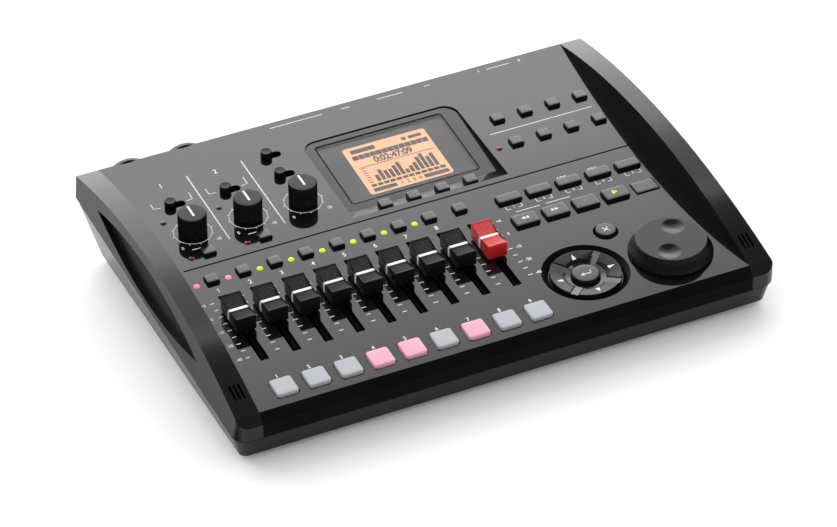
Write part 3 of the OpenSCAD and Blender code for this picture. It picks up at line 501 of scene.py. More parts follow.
TEMPO, TEMPO_TEXT, TEMPO_X, TEMPO_PITCH, TEMPO_V = "1200", 2.9, 6.5, 3.0, 128.2
segments = [bar(*corners) for corners in STATUS_BARS]
segments += [bar(x, CELLS_V[0], x + CELL_WIDE, CELLS_V[1]) for x in TEXT_L + CELL_PITCH * np.arange(CELLS)]
segments.append(glyphs(COUNTER, COUNTER_TEXT, COUNTER_X, COUNTER_V, TEXT_BOLD))
segments.append(bar(TEXT_L, DIVIDER_V[0], TEXT_R, DIVIDER_V[1]))
for i, level in enumerate(LEVEL_BARS):
    x = LEVEL_X + LEVEL_PITCH * i
    segments.append(bar(x, LEVEL_FOOT, x + LEVEL_WIDE, LEVEL_FOOT + LEVEL_STEP * level))
segments += [bar(GAUGE_X[0], v, GAUGE_X[1], v + GAUGE_HIGH) for v in GAUGE_V]
segments += [bar(x, FEET_V[0], x + FOOT_WIDE, FEET_V[1]) for x in FOOT_X + FOOT_PITCH * np.arange(FEET)]
segments += [bar(*corners) for corners in TEMPO_BARS]
for i, text in enumerate(TEMPO):
    segments.append(glyphs(text, TEMPO_TEXT, TEMPO_X + TEMPO_PITCH * i, TEMPO_V, TEXT_BOLD))
segment_brown = finish("segment_brown", (0.10, 0.045, 0.022), (0.14, 0.065, 0.032), (0.5, 0.6))
build(
    "display_segments", [lay(part, under_floor(SEGMENT_DEPTH)) for part in segments], segment_brown,
    "case", thick=SEGMENT_THICK,
)

# Window: a clear acrylic plate flush in the recess floor, printed black underneath round the lit area.
# A glossy black overlay covers the floor round it, with a dull black line along the window's edge,
# painted shade of the gap round the window.


def rounded(hx, hv, r, steps=7, front=None):
    """Rounded rectangle about the middle: a quarter circle of radius r round each inner corner, or of
    radius front round the two at the front."""
    turn = np.linspace(0, np.pi / 2, steps)
    arm = np.stack([np.cos(turn), np.sin(turn)], 1)
    rear = arm * r + [hx - r, hv - r]
    near = rear if front is None else arm * front + [hx - front, hv - front]
    return np.concatenate([rear, rear[::-1] * [-1, 1], -near, near[::-1] * [1, -1]])


def flat_ring(rim, hole):
    """Flat band between two outlines with as many points each."""
    n = len(rim)
    i = np.arange(n)
    j = (i + 1) % n
    return np.concatenate([rim, hole]), np.stack([i, j, j + n, i + n], 1).tolist()


BORDER_DEPTH, BORDER_THICK = 2.05, 0.04
PLATE, PLATE_MIDDLE = (31.9, 21.4, 0.4), [10.5, 143.0]
LIT, LIT_MIDDLE = (20.6, 17.0, 1.6), [10.6, 142.5]
border = flat_ring(rounded(*PLATE) + PLATE_MIDDLE, rounded(*LIT) + LIT_MIDDLE)
mask_black = finish("mask_black", (0.010, 0.010, 0.012), (0.016, 0.016, 0.018), (0.5, 0.65))
build(
    "window_border", [lay(border, under_floor(BORDER_DEPTH))], mask_black,
    "case", thick=BORDER_THICK,
)

OVERLAY_DEPTH, OVERLAY_THICK = -0.03, 0.05
LINE_RIM, LINE_HOLE, WINDOW_MIDDLE = (31.9, 21.8, 1.8), (31.2, 21.1, 1.2), [10.6, 143.2]
RECESS, RECESS_FRONT_R, RECESS_MIDDLE = (38.15, 25.55, 6.9), 0.3, [11.75, 142.85]
edge = rounded(*LINE_RIM) + WINDOW_MIDDLE
painted_gap_line = flat_ring(edge, rounded(*LINE_HOLE) + WINDOW_MIDDLE)
surround = flat_ring(rounded(*RECESS, front=RECESS_FRONT_R) + RECESS_MIDDLE, edge)
overlay_black = finish(
    "overlay_black", (0.010, 0.010, 0.012), (0.014, 0.014, 0.016), (0.06, 0.10), bump=0.01,
    Specular_IOR_Level=0.9,
)
# The line's black is painted shade of the gap round the window.
gap_shade_black = finish(
    "gap_shade_black", (0.003, 0.003, 0.003), (0.005, 0.005, 0.005), (0.6, 0.7), Specular_IOR_Level=0.1
)
build(
    "window_surround", [lay(part, under_floor(OVERLAY_DEPTH)) for part in (surround, painted_gap_line)],
    [overlay_black, gap_shade_black], "case", thick=OVERLAY_THICK,
)

acrylic = finish(
    "acrylic", (0.93, 0.94, 0.96), (0.97, 0.98, 1.0), (0.01, 0.03), 200.0, 0.0,
    IOR=1.49, Transmission_Weight=1.0,
)
dress(acrylic, "display_window")

# Lamps: small domed lenses in moulded acrylic that stand through the panel. The lit track lamps
# glow pink and lime, and the five unlit level lamps are dark red.


def loft(rings):
    """Closed skin over rings of points: quads between neighbours and a fan into each end ring's mean
    point, turned outwards by the sign of the volume inside."""
    rows, cols = rings.shape[:2]
    points = np.concatenate([rings.reshape(-1, 3), rings[0].mean(0)[None], rings[-1].mean(0)[None]])
    grid = np.arange(rows * cols).reshape(rows, cols)
    after = np.roll(grid, -1, 1)
    quads = np.stack([grid[:-1], after[:-1], after[1:], grid[1:]], -1).reshape(-1, 4)
    first = np.stack([after[0], grid[0], np.full(cols, rows * cols)], -1)
    last = np.stack([grid[-1], after[-1], np.full(cols, rows * cols + 1)], -1)
    corner = points[np.concatenate([quads[:, :3], quads[:, [0, 2, 3]], first, last])]
    volume = np.einsum("ij,ij->", corner[:, 0], np.cross(corner[:, 1], corner[:, 2]))
    faces = quads.tolist() + first.tolist() + last.tolist()
    return points, faces if volume > 0 else [face[::-1] for face in faces]


def ribbed(profile, turn, ribs, depth):
    """Radii and heights of a profile at each angle. A row gives radius, height and rib share, by which
    the ribs, a raised cosine, cut into its radius."""
    r, w, share = np.array([(*row, 0.0)[:3] for row in profile]).T[:, :, None]
    r = r - share * depth * (0.5 + 0.5 * np.cos(ribs * turn)) ** 0.7
    return r, w * np.ones_like(turn)


def turned(x, v, profile, steps=40, ribs=0, depth=0.0):
    """Ribbed profile carried round an axis that stands on the panel at x, v."""
    turn = np.linspace(0, 2 * np.pi, steps, endpoint=False)
    r, w = ribbed(profile, turn, ribs, depth)
    return loft(on_slope(x + r * np.cos(turn), v + r * np.sin(turn), PANEL + w))


def glow(name, colour, strength):
    """Lit plastic: the colour shaded down by a fifth in its grain, and glowing."""
    return lit(finish(name, [c * 0.8 for c in colour], colour, (0.2, 0.3), Emission_Strength=strength))


DOME = [(1.45, -10.7), (1.45, -0.1), (1.42, 0.12), (1.25, 0.38), (0.85, 0.6), (0.4, 0.7)]
LAMP_ASIDE, TRACK_LAMPS_V, INPUT_LAMPS_V = 7.6, 92.9, 111.9
PEAK_ASIDE, PEAK_LAMPS_V, FUNCTION_LAMP = 9.4, KNOB_V + 11.4, (54.6, 127.4)
TRACK_LAMPS = [(x - LAMP_ASIDE, TRACK_LAMPS_V) for x in TRACKS[:8]]
LEVEL_LAMPS = [(x - PEAK_ASIDE, PEAK_LAMPS_V) for x in KNOBS[:2]]
LEVEL_LAMPS += [(x - LAMP_ASIDE, INPUT_LAMPS_V) for x in KNOBS[:2]]
LEVEL_LAMPS.append(FUNCTION_LAMP)
lamp_pink = glow("lamp_pink", (0.95, 0.18, 0.32), 0.9)
lamp_lime = glow("lamp_lime", (0.42, 0.68, 0.005), 0.75)
lamp_dark = finish("lamp_dark", (0.10, 0.004, 0.006), (0.16, 0.008, 0.010), (0.12, 0.2))
build(
    "lamp_lenses", [turned(x, v, DOME, 24) for x, v in TRACK_LAMPS + LEVEL_LAMPS],
    [lamp_pink] * 2 + [lamp_lime] * 6 + [lamp_dark] * 5, "case", ["status_lamps"],
)

# Pads: nine silicone rubber pads with flat tops and soft edges, moulded with a lip that holds them
# under the panel. Three of them are lit pink from below.
LIP, LIP_T = 6.95 - PANEL, 7.95 - PANEL
PAD_V, PAD_HX, PAD_HV, PAD_R, LIT_PADS = 14.5, 4.95, 5.25, 1.2, (4, 5, 7)


def block(x, v, hx, hv, r, levels):
    """Rounded rectangles stacked up: each level gives an inset and a height over the panel."""
    least_r = 0.25
    rings = np.stack([
        np.insert(rounded(hx - inset, hv - inset, max(r - inset, least_r)) + [x, v], 2, PANEL + w, axis=1)
        for inset, w in levels
    ])
    return loft(on_slope(rings[..., 0], rings[..., 1], rings[..., 2]))


UNDER = [(0.6, LIP), (-0.9, LIP), (-0.9, LIP_T), (0.0, LIP_T)]
PAD = UNDER + [(0.0, 0.9), (0.05, 1.12), (0.2, 1.28), (0.5, 1.35), (1.4, 1.38), (3.2, 1.4), (4.6, 1.4)]
pad_grey = finish("pad_grey", (0.365, 0.382, 0.417), (0.428, 0.444, 0.478), (0.42, 0.55), 2600.0, 0.15)
pad_pink = glow("pad_pink", (0.74, 0.335, 0.465), 0.14)
for number, x in enumerate(TRACKS, 1):
    pink = number in LIT_PADS
    build(
        f"pad_{number}_rubber", [block(x, PAD_V, PAD_HX, PAD_HV, PAD_R, PAD)], pad_pink if pink else pad_grey,
        f"pad_{number}_body", [f"pad_{number}"],
    )

# Fader caps: moulded saddles with fine grip ribs over both halves and a white line let in across
# the middle, pushed on steel blades. The last one is red.
CAP_HALF, CAP_X, CAP_V = 9.2, 4.6, 63.7
SADDLE_HALF, SADDLE_LOW, SADDLE_POWER, REAR_RISE, FRONT_RISE = 8.8, 6.45, 1.3, 2.1, 1.85
RIB_FROM, RIB_TO, RIB_PITCH, RIB_DEEP = 0.9, 8.2, 0.86, 0.16
BLADE = np.array([(-1.0, -2.0), (1.0, -2.0), (1.0, 2.0), (-1.0, 2.0)])
BLADE_W = np.array([3.0, PANEL + 1.5])
CAP_LINE, CAP_LINE_THICK = np.array([-0.8, 0.8]), 0.1


def fader_cap(x):
    """Cap outline in the v-w plane, ribbed along its saddle, carried across x with rounded edges. The
    saddle rises as a power of the distance from its middle, and the ribs are a triangle wave."""
    v = np.linspace(SADDLE_HALF, -SADDLE_HALF, 220)
    out = np.abs(v)
    saddle = SADDLE_LOW + np.where(v > 0, REAR_RISE, FRONT_RISE) * np.abs(v / SADDLE_HALF) ** SADDLE_POWER
    wave = 1 - np.abs((out - RIB_FROM) / RIB_PITCH % 1.0 * 2 - 1)
    rib = RIB_DEEP * wave * (out > RIB_FROM) * (out < RIB_TO)
    top = np.stack([v, saddle - rib], 1)
    nose = np.array([(-8.95, 8.2), (-9.08, 8.0), (-9.14, 7.6), (-CAP_HALF, 1.2), (-9.0, 1.0)])
    heel = np.array([(9.0, 1.0), (CAP_HALF, 1.2), (9.14, 8.0), (9.08, 8.35), (8.95, 8.5)])
    profile = np.concatenate([top, nose, heel])
    middle, reach = np.array([0.0, 4.5]), 6.0
    places = [(-CAP_X, 0.30), (-CAP_X + 0.08, 0.10), (-CAP_X + 0.28, 0.0)]
    places += [(-a, inset) for a, inset in places[::-1]]
    rings = np.stack([middle + (profile - middle) * (1 - inset / reach) for _, inset in places])
    across = np.array([a for a, _ in places])[:, None]
    return loft(on_slope(x + across, CAP_V + rings[..., 0], PANEL + rings[..., 1]))


def fader_blade(x):
    """Blade: its rectangle at the foot and at the head, skinned over."""
    return loft(on_slope(x + BLADE[:, 0], CAP_V + BLADE[:, 1], BLADE_W[:, None]))


def cap_line(x):
    """White line: a strip down one side, over the saddle's middle and down the other side."""
    path = [(-CAP_X - 0.03, 1.8), (-CAP_X - 0.03, 6.1), (-CAP_X + 0.1, 6.46), (-CAP_X + 0.4, 6.53)]
    path = np.array(path + [(-a, w) for a, w in path[::-1]])
    grid = on_slope(x + path[:, :1], CAP_V + CAP_LINE, PANEL + path[:, 1:])
    k = np.arange(len(path) - 1) * 2
    return grid.reshape(-1, 3), np.stack([k, k + 1, k + 3, k + 2], 1).tolist()


# The caps' leaning sides lose the coat and read darker: painted shade.
cap_black = finish(
    "cap_black", (0.006, 0.006, 0.007), (0.009, 0.009, 0.010), (0.25, 0.35), 3000.0, 0.05, 0.2,
    Specular_IOR_Level=0.1, Coat_Roughness=0.2,
)
cap_red = finish("cap_red", (0.52, 0.016, 0.014), (0.58, 0.021, 0.018), (0.2, 0.3), 3000.0, 0.05)
line_white = finish("line_white", (0.74, 0.74, 0.74), (0.80, 0.80, 0.80), (0.35, 0.5))
FADERS = [f"fader_cap_{number}" for number in range(1, 9)] + ["master_fader"]
for name, x in zip(FADERS, TRACKS):
    red = name == "master_fader"
    build(
        f"{name}_saddle", [fader_cap(x), fader_blade(x)], [cap_red if red else cap_black, pot_steel],
        f"{name}_body", [name],
    )
    build(f"{name}_line", [cap_line(x)], line_white, f"{name}_body", thick=CAP_LINE_THICK)

# Knobs: ribbed caps moulded in black ABS, with a flat top and a white pointer let in, pushed on the
# pot shafts.
KNOB_TOP, KNOB_RIBS, KNOB_RIB_DEEP = 10.8, 48, 0.4
POINTER_FROM, POINTER_TO, POINTER_WIDE = -2.4, 5.2, 1.0
POINTER_OVER, POINTER_THICK = 0.05, 0.12
KNOB = [(2.9, -9.25), (3.0, -9.0), (3.0, 0.4), (6.2, 0.4), (6.5, 0.65, 1), (6.5, 5.0, 1), (6.5, 9.8, 1)]
KNOB += [(6.48, 10.4, 0.9), (6.36, 10.66, 0.4), (6.15, 10.78)]
KNOB += [(r, KNOB_TOP) for r in (5.9, 4.0, 2.0)]
# The knobs' sides lose the coat and read darker: painted shade.
knob_black = finish(
    "knob_black", (0.011, 0.011, 0.012), (0.016, 0.016, 0.017), (0.2, 0.3), 3000.0, 0.03, 0.2,
    Specular_IOR_Level=0.12, Coat_Roughness=0.14,
)
for name, x in zip(("gain_knob_1", "gain_knob_2", "mix_knob"), KNOBS):
    cap = turned(x, KNOB_V, KNOB, 8 * KNOB_RIBS, KNOB_RIBS, KNOB_RIB_DEEP)
    build(f"{name}_cap", [cap], knob_black, f"{name}_body", [name])
    pointer = ribbon([(x, KNOB_V + POINTER_FROM), (x, KNOB_V + POINTER_TO)], POINTER_WIDE)
    pointer = lay(pointer, PANEL + KNOB_TOP + POINTER_OVER)
    build(f"{name}_pointer", [pointer], line_white, f"{name}_body", thick=POINTER_THICK)

# Slide switches: small round heads moulded in black plastic with a ribbed rim, which slide across
# in slots to three positions.
SLIDER = [(1.4, -5.4), (1.5, -5.3), (1.5, 0.3), (2.6, 0.3), (2.7, 0.45, 1), (2.7, 2.7, 1), (2.55, 3.1, 0.4)]
SLIDER += [(2.3, 3.28), (1.9, 3.25), (1.0, 3.18)]
SLIDER_RIBS, SLIDER_RIB_DEEP = 16, 0.14
SLIDES = [(-97.0, 151.0), (-70.4, 151.0), (-43.8, 166.8), (-43.8, 151.0)]
for number, (x, v) in enumerate(SLIDES, 1):
    head = turned(x, v, SLIDER, 6 * SLIDER_RIBS, SLIDER_RIBS, SLIDER_RIB_DEEP)
    build(
        f"slide_switch_{number}_head", [head], cap_black,
        f"slide_switch_{number}_body", [f"slide_switch_{number}"],
    )

# Keys: hard caps in polished black ABS with flat tops and crisp edges, in rows of small and wide
# keys. A lip under the panel holds each of them.
KEY_TOP, SUNK_TOP = 1.6, 0.6
SMALL_HX, SMALL_HV, SMALL_R = 2.9, 2.8, 0.6
WIDE_HX, WIDE_R = 5.75, 0.8
TRACK_KEYS_V, MARKER_KEYS_V, MARKER_HV = 94.2, 91.6, 2.8
INPUT_KEYS_V, INPUT_KEY_ASIDE = 113.3, 0.9
SOFT_KEYS_V, SOFT_X, SOFT_DX = 112.5, -9.2, 14.0
FUNCTION_X, FUNCTION_DX, FUNCTION_V, FUNCTION_DV = 63.6, 14.05, 128.6, 19.7


def key(x, v, hx, hv, r, top=KEY_TOP):
    """Block on its lip with a small rounding round the top, which is flat."""
    rim = [(0.0, top - 0.2), (0.04, top - 0.08), (0.12, top - 0.02), (0.24, top), (1.4, top)]
    return block(x, v, hx, hv, r, UNDER + rim)


def small_key(x, v, top=KEY_TOP):
    """Nearly square key of the small rows."""
    return key(x, v, SMALL_HX, SMALL_HV, SMALL_R, top)


def wide_key(x, v, hv, top=KEY_TOP):
    """Oblong key of the marker and transport rows."""
    return key(x, v, WIDE_HX, hv, WIDE_R, top)


# The keys' sides lose the coat and read black: painted shade.
key_black = finish(
    "key_black", (0.007, 0.007, 0.008), (0.011, 0.011, 0.012), (0.2, 0.3), 4000.0, 0.015, 0.95,
    Specular_IOR_Level=0.06, Coat_Roughness=0.12, Coat_IOR=1.58,
)
FUNCTIONS = [(FUNCTION_X + FUNCTION_DX * i, FUNCTION_V + FUNCTION_DV * j) for j in range(2) for i in range(4)]
ROWS = {
    "track_keys": [small_key(x, TRACK_KEYS_V) for x in TRACKS],
    "input_keys": [small_key(x + INPUT_KEY_ASIDE, INPUT_KEYS_V) for x in KNOBS[:2]],
    "soft_keys": [small_key(SOFT_X + SOFT_DX * i, SOFT_KEYS_V, SUNK_TOP) for i in range(4)],
    "function_keys": [small_key(x, v) for x, v in FUNCTIONS],
    "marker_keys": [wide_key(x, MARKER_KEYS_V, MARKER_HV) for x in WIDE],
}
for name, caps in ROWS.items():
    build(f"{name}_caps", caps, key_black, f"{name}_body", [name])

# Transport keys: larger caps of the same make with printed signs. The play sign is lit green from
# inside, and the record key stands lower than the rest.
TRANSPORT_V, TRANSPORT_HV = 74.2, 3.9
TRANSPORT_SIGN_V, TRANSPORT_SIGN_OVER, TRANSPORT_SIGN_THICK = 74.6, 0.03, 0.1
SEEK_LONG, SEEK_HALF, SEEK_ASIDE = 1.9, 1.0, 0.95
STOP_HALF, PLAY_LONG, PLAY_HALF, RECORD_R = 0.9, 2.6, 1.35, 1.0
sign_grey = finish("sign_grey", (0.10, 0.10, 0.10), (0.14, 0.14, 0.14), (0.4, 0.5))
sign_green = glow("sign_green", (0.25, 0.85, 0.02), 0.8)


def double_arrow(x, v, turn):
    """Two triangles one behind the other."""
    return [arrow(x + a, v, SEEK_LONG, SEEK_HALF, turn) for a in (-SEEK_ASIDE, SEEK_ASIDE)]


def stop_square(x, v, half):
    """Filled square about x, v."""
    return bar(x - half, v - half, x + half, v + half)


TRANSPORT = {
    "rewind_key": (lambda x, v: double_arrow(x, v, 180), ink_white),
    "forward_key": (lambda x, v: double_arrow(x, v, 0), ink_white),
    "stop_key": (lambda x, v: [stop_square(x, v, STOP_HALF)], sign_grey),
    "play_key": (lambda x, v: [arrow(x, v, PLAY_LONG, PLAY_HALF)], sign_green),
    "record_key": (lambda x, v: [outline(arc(x, v, RECORD_R, 0, 345, 24))], sign_grey),
}
for (name, (sign, colour)), x in zip(TRANSPORT.items(), WIDE):
    top = SUNK_TOP if name == "record_key" else KEY_TOP
    cap = wide_key(x, TRANSPORT_V, TRANSPORT_HV, top)
    build(f"{name}_cap", [cap], key_black, f"{name}_body", [name])
    drawn = [lay(part, PANEL + top + TRANSPORT_SIGN_OVER) for part in sign(x, TRANSPORT_SIGN_V)]
    build(f"{name}_sign", drawn, colour, f"{name}_body", thick=TRANSPORT_SIGN_THICK)

# Cursor keys: four quarters of a ring in black ABS, dished towards the middle and set in the round
# dish of the panel, each with a printed arrow.
CURSOR_X, CURSOR_V, RING_R, RING_IN, RING_ARM = 49.4, 30.0, 15.8, 9.4, 2.0
RING_FOOT, RING_DISH = -5.3, 0.17
RING_SIGN_R, RING_SIGN_LONG, RING_SIGN_HALF = 12.6, 3.2, 1.0
RING_SIGN_OVER, RING_SIGN_THICK = 0.13, 0.2
RING_RIM = [(0.0, -0.22), (0.05, -0.08), (0.16, -0.02), (0.32, 0.0), (1.2, 0.0)]


def quarter(inset, steps=22):
    """Ring quarter facing +x, inset all round: outer arc, then inner arc back, cut by two diagonal arms."""
    outer, inner, arm = RING_R - inset, RING_IN + inset, RING_ARM + inset
    a = np.pi / 4 - math.asin(arm / outer)
    b = np.pi / 4 - math.asin(arm / inner)
    out = np.linspace(-a, a, steps)
    back = np.linspace(b, -b, steps)
    return np.concatenate([
        np.stack([np.cos(out), np.sin(out)], 1) * outer, np.stack([np.cos(back), np.sin(back)], 1) * inner
    ])


def dished(x, v):
    """Height of the ring's top over the panel, a shallow cone that falls towards the middle."""
    return -RING_DISH * (RING_R - np.hypot(x, v))


def cursor_cap(c, s):
    """Ring quarter stacked up from its foot to its rounded rim on the cone, turned by a cosine and a sine."""
    rings = np.stack([quarter(inset) for inset in [0.0] + [inset for inset, _ in RING_RIM]])
    rim = dished(rings[1:, :, 0], rings[1:, :, 1]) + np.array([w for _, w in RING_RIM])[:, None]
    heights = np.concatenate([np.full((1, rings.shape[1]), RING_FOOT), rim])
    rings = rings @ np.array([[c, s], [-s, c]])
    return loft(on_slope(CURSOR_X + rings[..., 0], CURSOR_V + rings[..., 1], PANEL + heights))


# The ring's leaning faces lose the coat and read darker: painted shade.
ring_black = finish(
    "ring_black", (0.005, 0.005, 0.006), (0.008, 0.008, 0.009), (0.2, 0.3), 4000.0, 0.015, 0.5,
    Specular_IOR_Level=0.1, Coat_Roughness=0.16,
)
for turns, name in enumerate(("cursor_right", "cursor_up", "cursor_left", "cursor_down")):
    c, s = math.cos(turns * np.pi / 2), math.sin(turns * np.pi / 2)
    build(f"{name}_cap", [cursor_cap(c, s)], ring_black, f"{name}_body", [name])
    x, v = CURSOR_X + RING_SIGN_R * c, CURSOR_V + RING_SIGN_R * s
    flat, corners = arrow(x, v, RING_SIGN_LONG, RING_SIGN_HALF, turns * 90)
    top = PANEL + dished(flat[:, 0] - CURSOR_X, flat[:, 1] - CURSOR_V)
    sign = on_slope(flat[:, 0], flat[:, 1], top + RING_SIGN_OVER), corners
    build(f"{name}_sign", [sign], ink_white, f"{name}_body", thick=RING_SIGN_THICK)

# Enter and exit keys: flat round caps in polished black ABS with a printed sign each. One fills the
# middle of the cursor ring, and the other stands alone in its hole with a gap round it.
EXIT_X, EXIT_V = 70.5, 52.4
ENTER_TOP, EXIT_TOP, SIGN_OVER, SIGN_THICK = -0.2, 1.3, 0.04, 0.08
ENTER = [(6.1, -5.3), (6.3, -5.2), (6.3, -0.85), (6.22, -0.55), (6.0, -0.32), (5.7, -0.22)]
ENTER += [(r, ENTER_TOP) for r in (5.2, 3.0, 1.0)]
EXIT = [(5.0, -3.8), (6.2, -3.8), (6.2, -2.8), (5.4, -2.8), (5.4, -2.2), (4.8, -0.6)]
EXIT += [(4.75, 0.9), (4.65, 1.15), (4.4, 1.28)]
EXIT += [(r, EXIT_TOP) for r in (4.1, 2.5, 1.0)]
HOOK = np.array([(2.4, 1.2), (2.4, -0.6), (-1.2, -0.6)]) + [CURSOR_X, CURSOR_V]
BARB_X, BARB_V, BARB_LONG, BARB_HALF = CURSOR_X - 1.9, CURSOR_V - 0.6, 1.6, 1.0
CROSS = np.array([(-1.3, -1.3), (1.3, 1.3)])
enter_sign = [ribbon(HOOK, BOLD), arrow(BARB_X, BARB_V, BARB_LONG, BARB_HALF, 180)]
exit_sign = [ribbon(CROSS * [s, 1] + [EXIT_X, EXIT_V], BOLD) for s in (1, -1)]
for name, x, v, profile, top, sign in (
    ("enter", CURSOR_X, CURSOR_V, ENTER, ENTER_TOP, enter_sign),
    ("exit", EXIT_X, EXIT_V, EXIT, EXIT_TOP, exit_sign),
):
    cap = turned(x, v, profile, steps=64)
    build(f"{name}_cap", [cap], key_black, f"{name}_key_body", [f"{name}_key"])
    drawn = [lay(part, PANEL + top + SIGN_OVER) for part in sign]
    build(f"{name}_sign", drawn, ink_white, f"{name}_key_body", thick=SIGN_THICK)

# Dial: a wide wheel moulded in black ABS, with a ribbed skirt and a flat top with two finger
# dimples, pushed on the encoder's shaft.
DIAL_X, DIAL_V, DIAL_TOP, DIAL_TOP_R = 89.9, 27.7, 7.0, 15.5
DIAL_RIBS, DIAL_RIB_DEEP, DIAL_STEPS = 72, 0.3, 360
DIMPLES, DIMPLE_OUT, DIMPLE_R = np.radians([58, 238]), 8.9, 5.2
DIMPLE_DEEP, DIMPLE_POWER = 1.0, 1.3
DISC_R = np.concatenate([[DIAL_TOP_R], np.linspace(15.2, 0.35, 46)])
SKIRT = [(2.9, -9.25), (3.0, -9.0), (3.0, 0.4), (18.6, 0.4), (18.95, 0.6, 1), (19.0, 1.2, 1), (18.2, 2.6, 1)]
SKIRT += [(17.2, 4.3, 1), (16.3, 5.9, 1), (16.1, 6.3, 0.4), (15.95, 6.7), (15.75, 6.92)]


def dial():
    """Skirt profile carried round with ribs, then a disc whose height dips by two round hollows with
    soft rims, each a power of one less the squared distance from its middle."""
    turn = np.linspace(0, 2 * np.pi, DIAL_STEPS, endpoint=False)
    r, w = ribbed(SKIRT, turn, DIAL_RIBS, DIAL_RIB_DEEP)
    disc = DISC_R[:, None] * np.ones(DIAL_STEPS)
    r, w = np.concatenate([r, disc]), np.concatenate([w, np.full(disc.shape, DIAL_TOP)])
    x, v = r * np.cos(turn), r * np.sin(turn)
    for a in DIMPLES:
        away = np.hypot(x - DIMPLE_OUT * math.cos(a), v - DIMPLE_OUT * math.sin(a))
        hollow = DIMPLE_DEEP * np.clip(1 - (away / DIMPLE_R) ** 2, 0, None) ** DIMPLE_POWER
        w = w - hollow * (r < DIAL_TOP_R)
    return loft(on_slope(DIAL_X + x, DIAL_V + v, PANEL + w))


# The skirt and the dimples' slopes lose the coat and read darker: painted shade.
dial_black = finish(
    "dial_black", (0.005, 0.005, 0.006), (0.008, 0.008, 0.009), (0.2, 0.3), 3500.0, 0.03, 0.5, 0.88,
    Specular_IOR_Level=0.1, Coat_Roughness=0.2,
)
build("jog_wheel", [dial()], dial_black, "jog_dial_body", ["jog_dial"])

# Power switch: a small slider in black plastic, which stands through a slot in the rear wall and
# moves across.
dress(key_black, "power_switch")

# Studio: a pale paper floor, an even room and one tall lit backdrop behind on the right, which the
# panel mirrors.
FLOOR_HALF, CAMERA_LIFT, MIRROR_LIFT = 8.0, 0.06, 0.02


def stage_plane(name, corners):
    """Flat piece of the studio with four corners."""
    mesh = bpy.data.meshes.new(name)
    mesh.from_pydata(corners, [], [(0, 1, 2, 3)])
    plane = bpy.data.objects.new(name, mesh)
    bpy.context.scene.collection.objects.link(plane)
    return plane


def bare_material(name):
    """Material with nothing but its output node yet."""
    material = bpy.data.materials.new(name)
    material.use_nodes = True
    material.node_tree.nodes.clear()
    return material, material.node_tree.nodes.new("ShaderNodeOutputMaterial")


around = ((-1, -1), (1, -1), (1, 1), (-1, 1))
floor = stage_plane("floor", [(a * FLOOR_HALF, b * FLOOR_HALF, 0) for a, b in around])
paper, out = bare_material("paper")
tree = paper.node_tree
matt = tree.nodes.new("ShaderNodeBsdfDiffuse")
matt.inputs["Color"].default_value = (0.95, 0.95, 0.95, 1)
lift = tree.nodes.new("ShaderNodeEmission")
rays = tree.nodes.new("ShaderNodeLightPath")
mirrored = tree.nodes.new("ShaderNodeMath")
mirrored.operation = "MAXIMUM"
faint = tree.nodes.new("ShaderNodeMath")
faint.operation = "MULTIPLY"
faint.inputs[1].default_value = MIRROR_LIFT
level = tree.nodes.new("ShaderNodeMath")
level.operation = "MULTIPLY_ADD"
level.inputs[1].default_value = CAMERA_LIFT
both = tree.nodes.new("ShaderNodeAddShader")
tree.links.new(rays.outputs["Is Glossy Ray"], mirrored.inputs[0])
tree.links.new(rays.outputs["Is Transmission Ray"], mirrored.inputs[1])
tree.links.new(mirrored.outputs[0], faint.inputs[0])
tree.links.new(rays.outputs["Is Camera Ray"], level.inputs[0])
tree.links.new(faint.outputs[0], level.inputs[2])
tree.links.new(level.outputs[0], lift.inputs["Strength"])
tree.links.new(matt.outputs[0], both.inputs[0])
tree.links.new(lift.outputs[0], both.inputs[1])
tree.links.new(both.outputs[0], out.inputs["Surface"])
floor.data.materials.append(paper)

LEFT, RIGHT, BACK, LOW, HIGH = -1.6, 2.6, 1.15, 0.02, 2.7
BRIGHT, FOOT_RADIANCE = 4.0, 3.4
RADIANCE = ((1.20, 3.5), (1.29, 2.7), (1.42, 2.1), (1.50, 1.6), (2.3, 1.4), (HIGH, 0.8))
backdrop = stage_plane(
    "backdrop", [(LEFT, BACK, LOW), (RIGHT, BACK, LOW), (RIGHT, BACK, HIGH), (LEFT, BACK, HIGH)]
)
backdrop.visible_camera = False
silk, out = bare_material("silk")
tree = silk.node_tree
shine = tree.nodes.new("ShaderNodeEmission")
shine.inputs["Strength"].default_value = BRIGHT
where = tree.nodes.new("ShaderNodeTexCoord")
split = tree.nodes.new("ShaderNodeSeparateXYZ")
height = tree.nodes.new("ShaderNodeMapRange")
height.inputs["From Max"].default_value = HIGH
fade = tree.nodes.new("ShaderNodeValToRGB")
stops = fade.color_ramp.elements
for z, radiance in RADIANCE:
    stops.new(z / HIGH).color = (*[radiance / BRIGHT] * 3, 1)
stops.remove(stops[-1])
stops[0].color = (*[FOOT_RADIANCE / BRIGHT] * 3, 1)
tree.links.new(where.outputs["Object"], split.inputs[0])
tree.links.new(split.outputs["Z"], height.inputs["Value"])
tree.links.new(height.outputs["Result"], fade.inputs["Fac"])
tree.links.new(fade.outputs["Color"], shine.inputs["Color"])
tree.links.new(shine.outputs[0], out.inputs["Surface"])
backdrop.data.materials.append(silk)

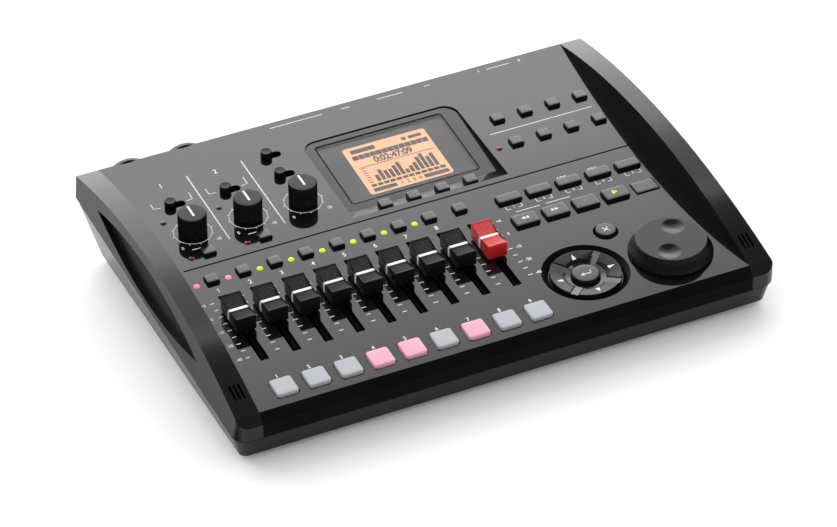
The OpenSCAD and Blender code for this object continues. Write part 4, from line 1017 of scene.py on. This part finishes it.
ROOM, ROOM_MIRRORED, ROOM_SEEN = 0.90, 0.2, 1.0
world = bpy.data.worlds.new("room")
bpy.context.scene.world = world
world.use_nodes = True
world.cycles.sampling_method = "NONE"
tree = world.node_tree
room = tree.nodes["Background"]
room.inputs["Color"].default_value = (1, 1, 1, 1)
rays = tree.nodes.new("ShaderNodeLightPath")
dim = tree.nodes.new("ShaderNodeMix")
dim.data_type = "FLOAT"
dim.inputs["A"].default_value = ROOM
dim.inputs["B"].default_value = ROOM_MIRRORED
white = tree.nodes.new("ShaderNodeMix")
white.data_type = "FLOAT"
white.inputs["B"].default_value = ROOM_SEEN
tree.links.new(rays.outputs["Is Glossy Ray"], dim.inputs["Factor"])
tree.links.new(dim.outputs["Result"], white.inputs["A"])
tree.links.new(rays.outputs["Is Camera Ray"], white.inputs["Factor"])
tree.links.new(white.outputs["Result"], room.inputs["Strength"])

# Camera: where the photograph was taken from, fitted in the panel's own axes with the origin on the
# panel's middle, in millimetres and pixels.
AZIMUTH, ELEVATION, ROLL = (math.radians(a) for a in (-24.623, 38.331, -0.322))
DISTANCE, TARGET = 1690.31, np.array([-14.03, -28.32, 0.0])
FOCAL_PX, PHOTO_W_PX, SENSOR = 3863.02, 837, 36.0
back = np.array([
    math.sin(AZIMUTH) * math.cos(ELEVATION), -math.cos(AZIMUTH) * math.cos(ELEVATION), math.sin(ELEVATION)
])
right = np.array([math.cos(AZIMUTH), math.sin(AZIMUTH), 0.0])
up = np.cross(back, right)
right, up = right * math.cos(ROLL) + up * math.sin(ROLL), up * math.cos(ROLL) - right * math.sin(ROLL)
eye = TARGET + back * DISTANCE
panel_axes = np.array([
    [1, 0, 0], [0, math.cos(TILT), -math.sin(TILT)], [0, math.sin(TILT), math.cos(TILT)]
])
pose = np.eye(4)
pose[:3, :3] = panel_axes @ np.stack([right, up, back], 1)
pose[:3, 3] = on_slope(eye[0], eye[1] + CASE_D / 2, eye[2] + PANEL)
lens = bpy.data.cameras.new("camera")
lens.sensor_fit, lens.sensor_width, lens.lens = "HORIZONTAL", SENSOR, FOCAL_PX / PHOTO_W_PX * SENSOR
lens.clip_start, lens.clip_end = 0.05, 60.0
camera = bpy.data.objects.new("camera", lens)
bpy.context.scene.collection.objects.link(camera)
camera.matrix_world = Matrix(pose.tolist())
bpy.context.scene.camera = camera
bpy.context.scene.view_settings.view_transform = "Standard"
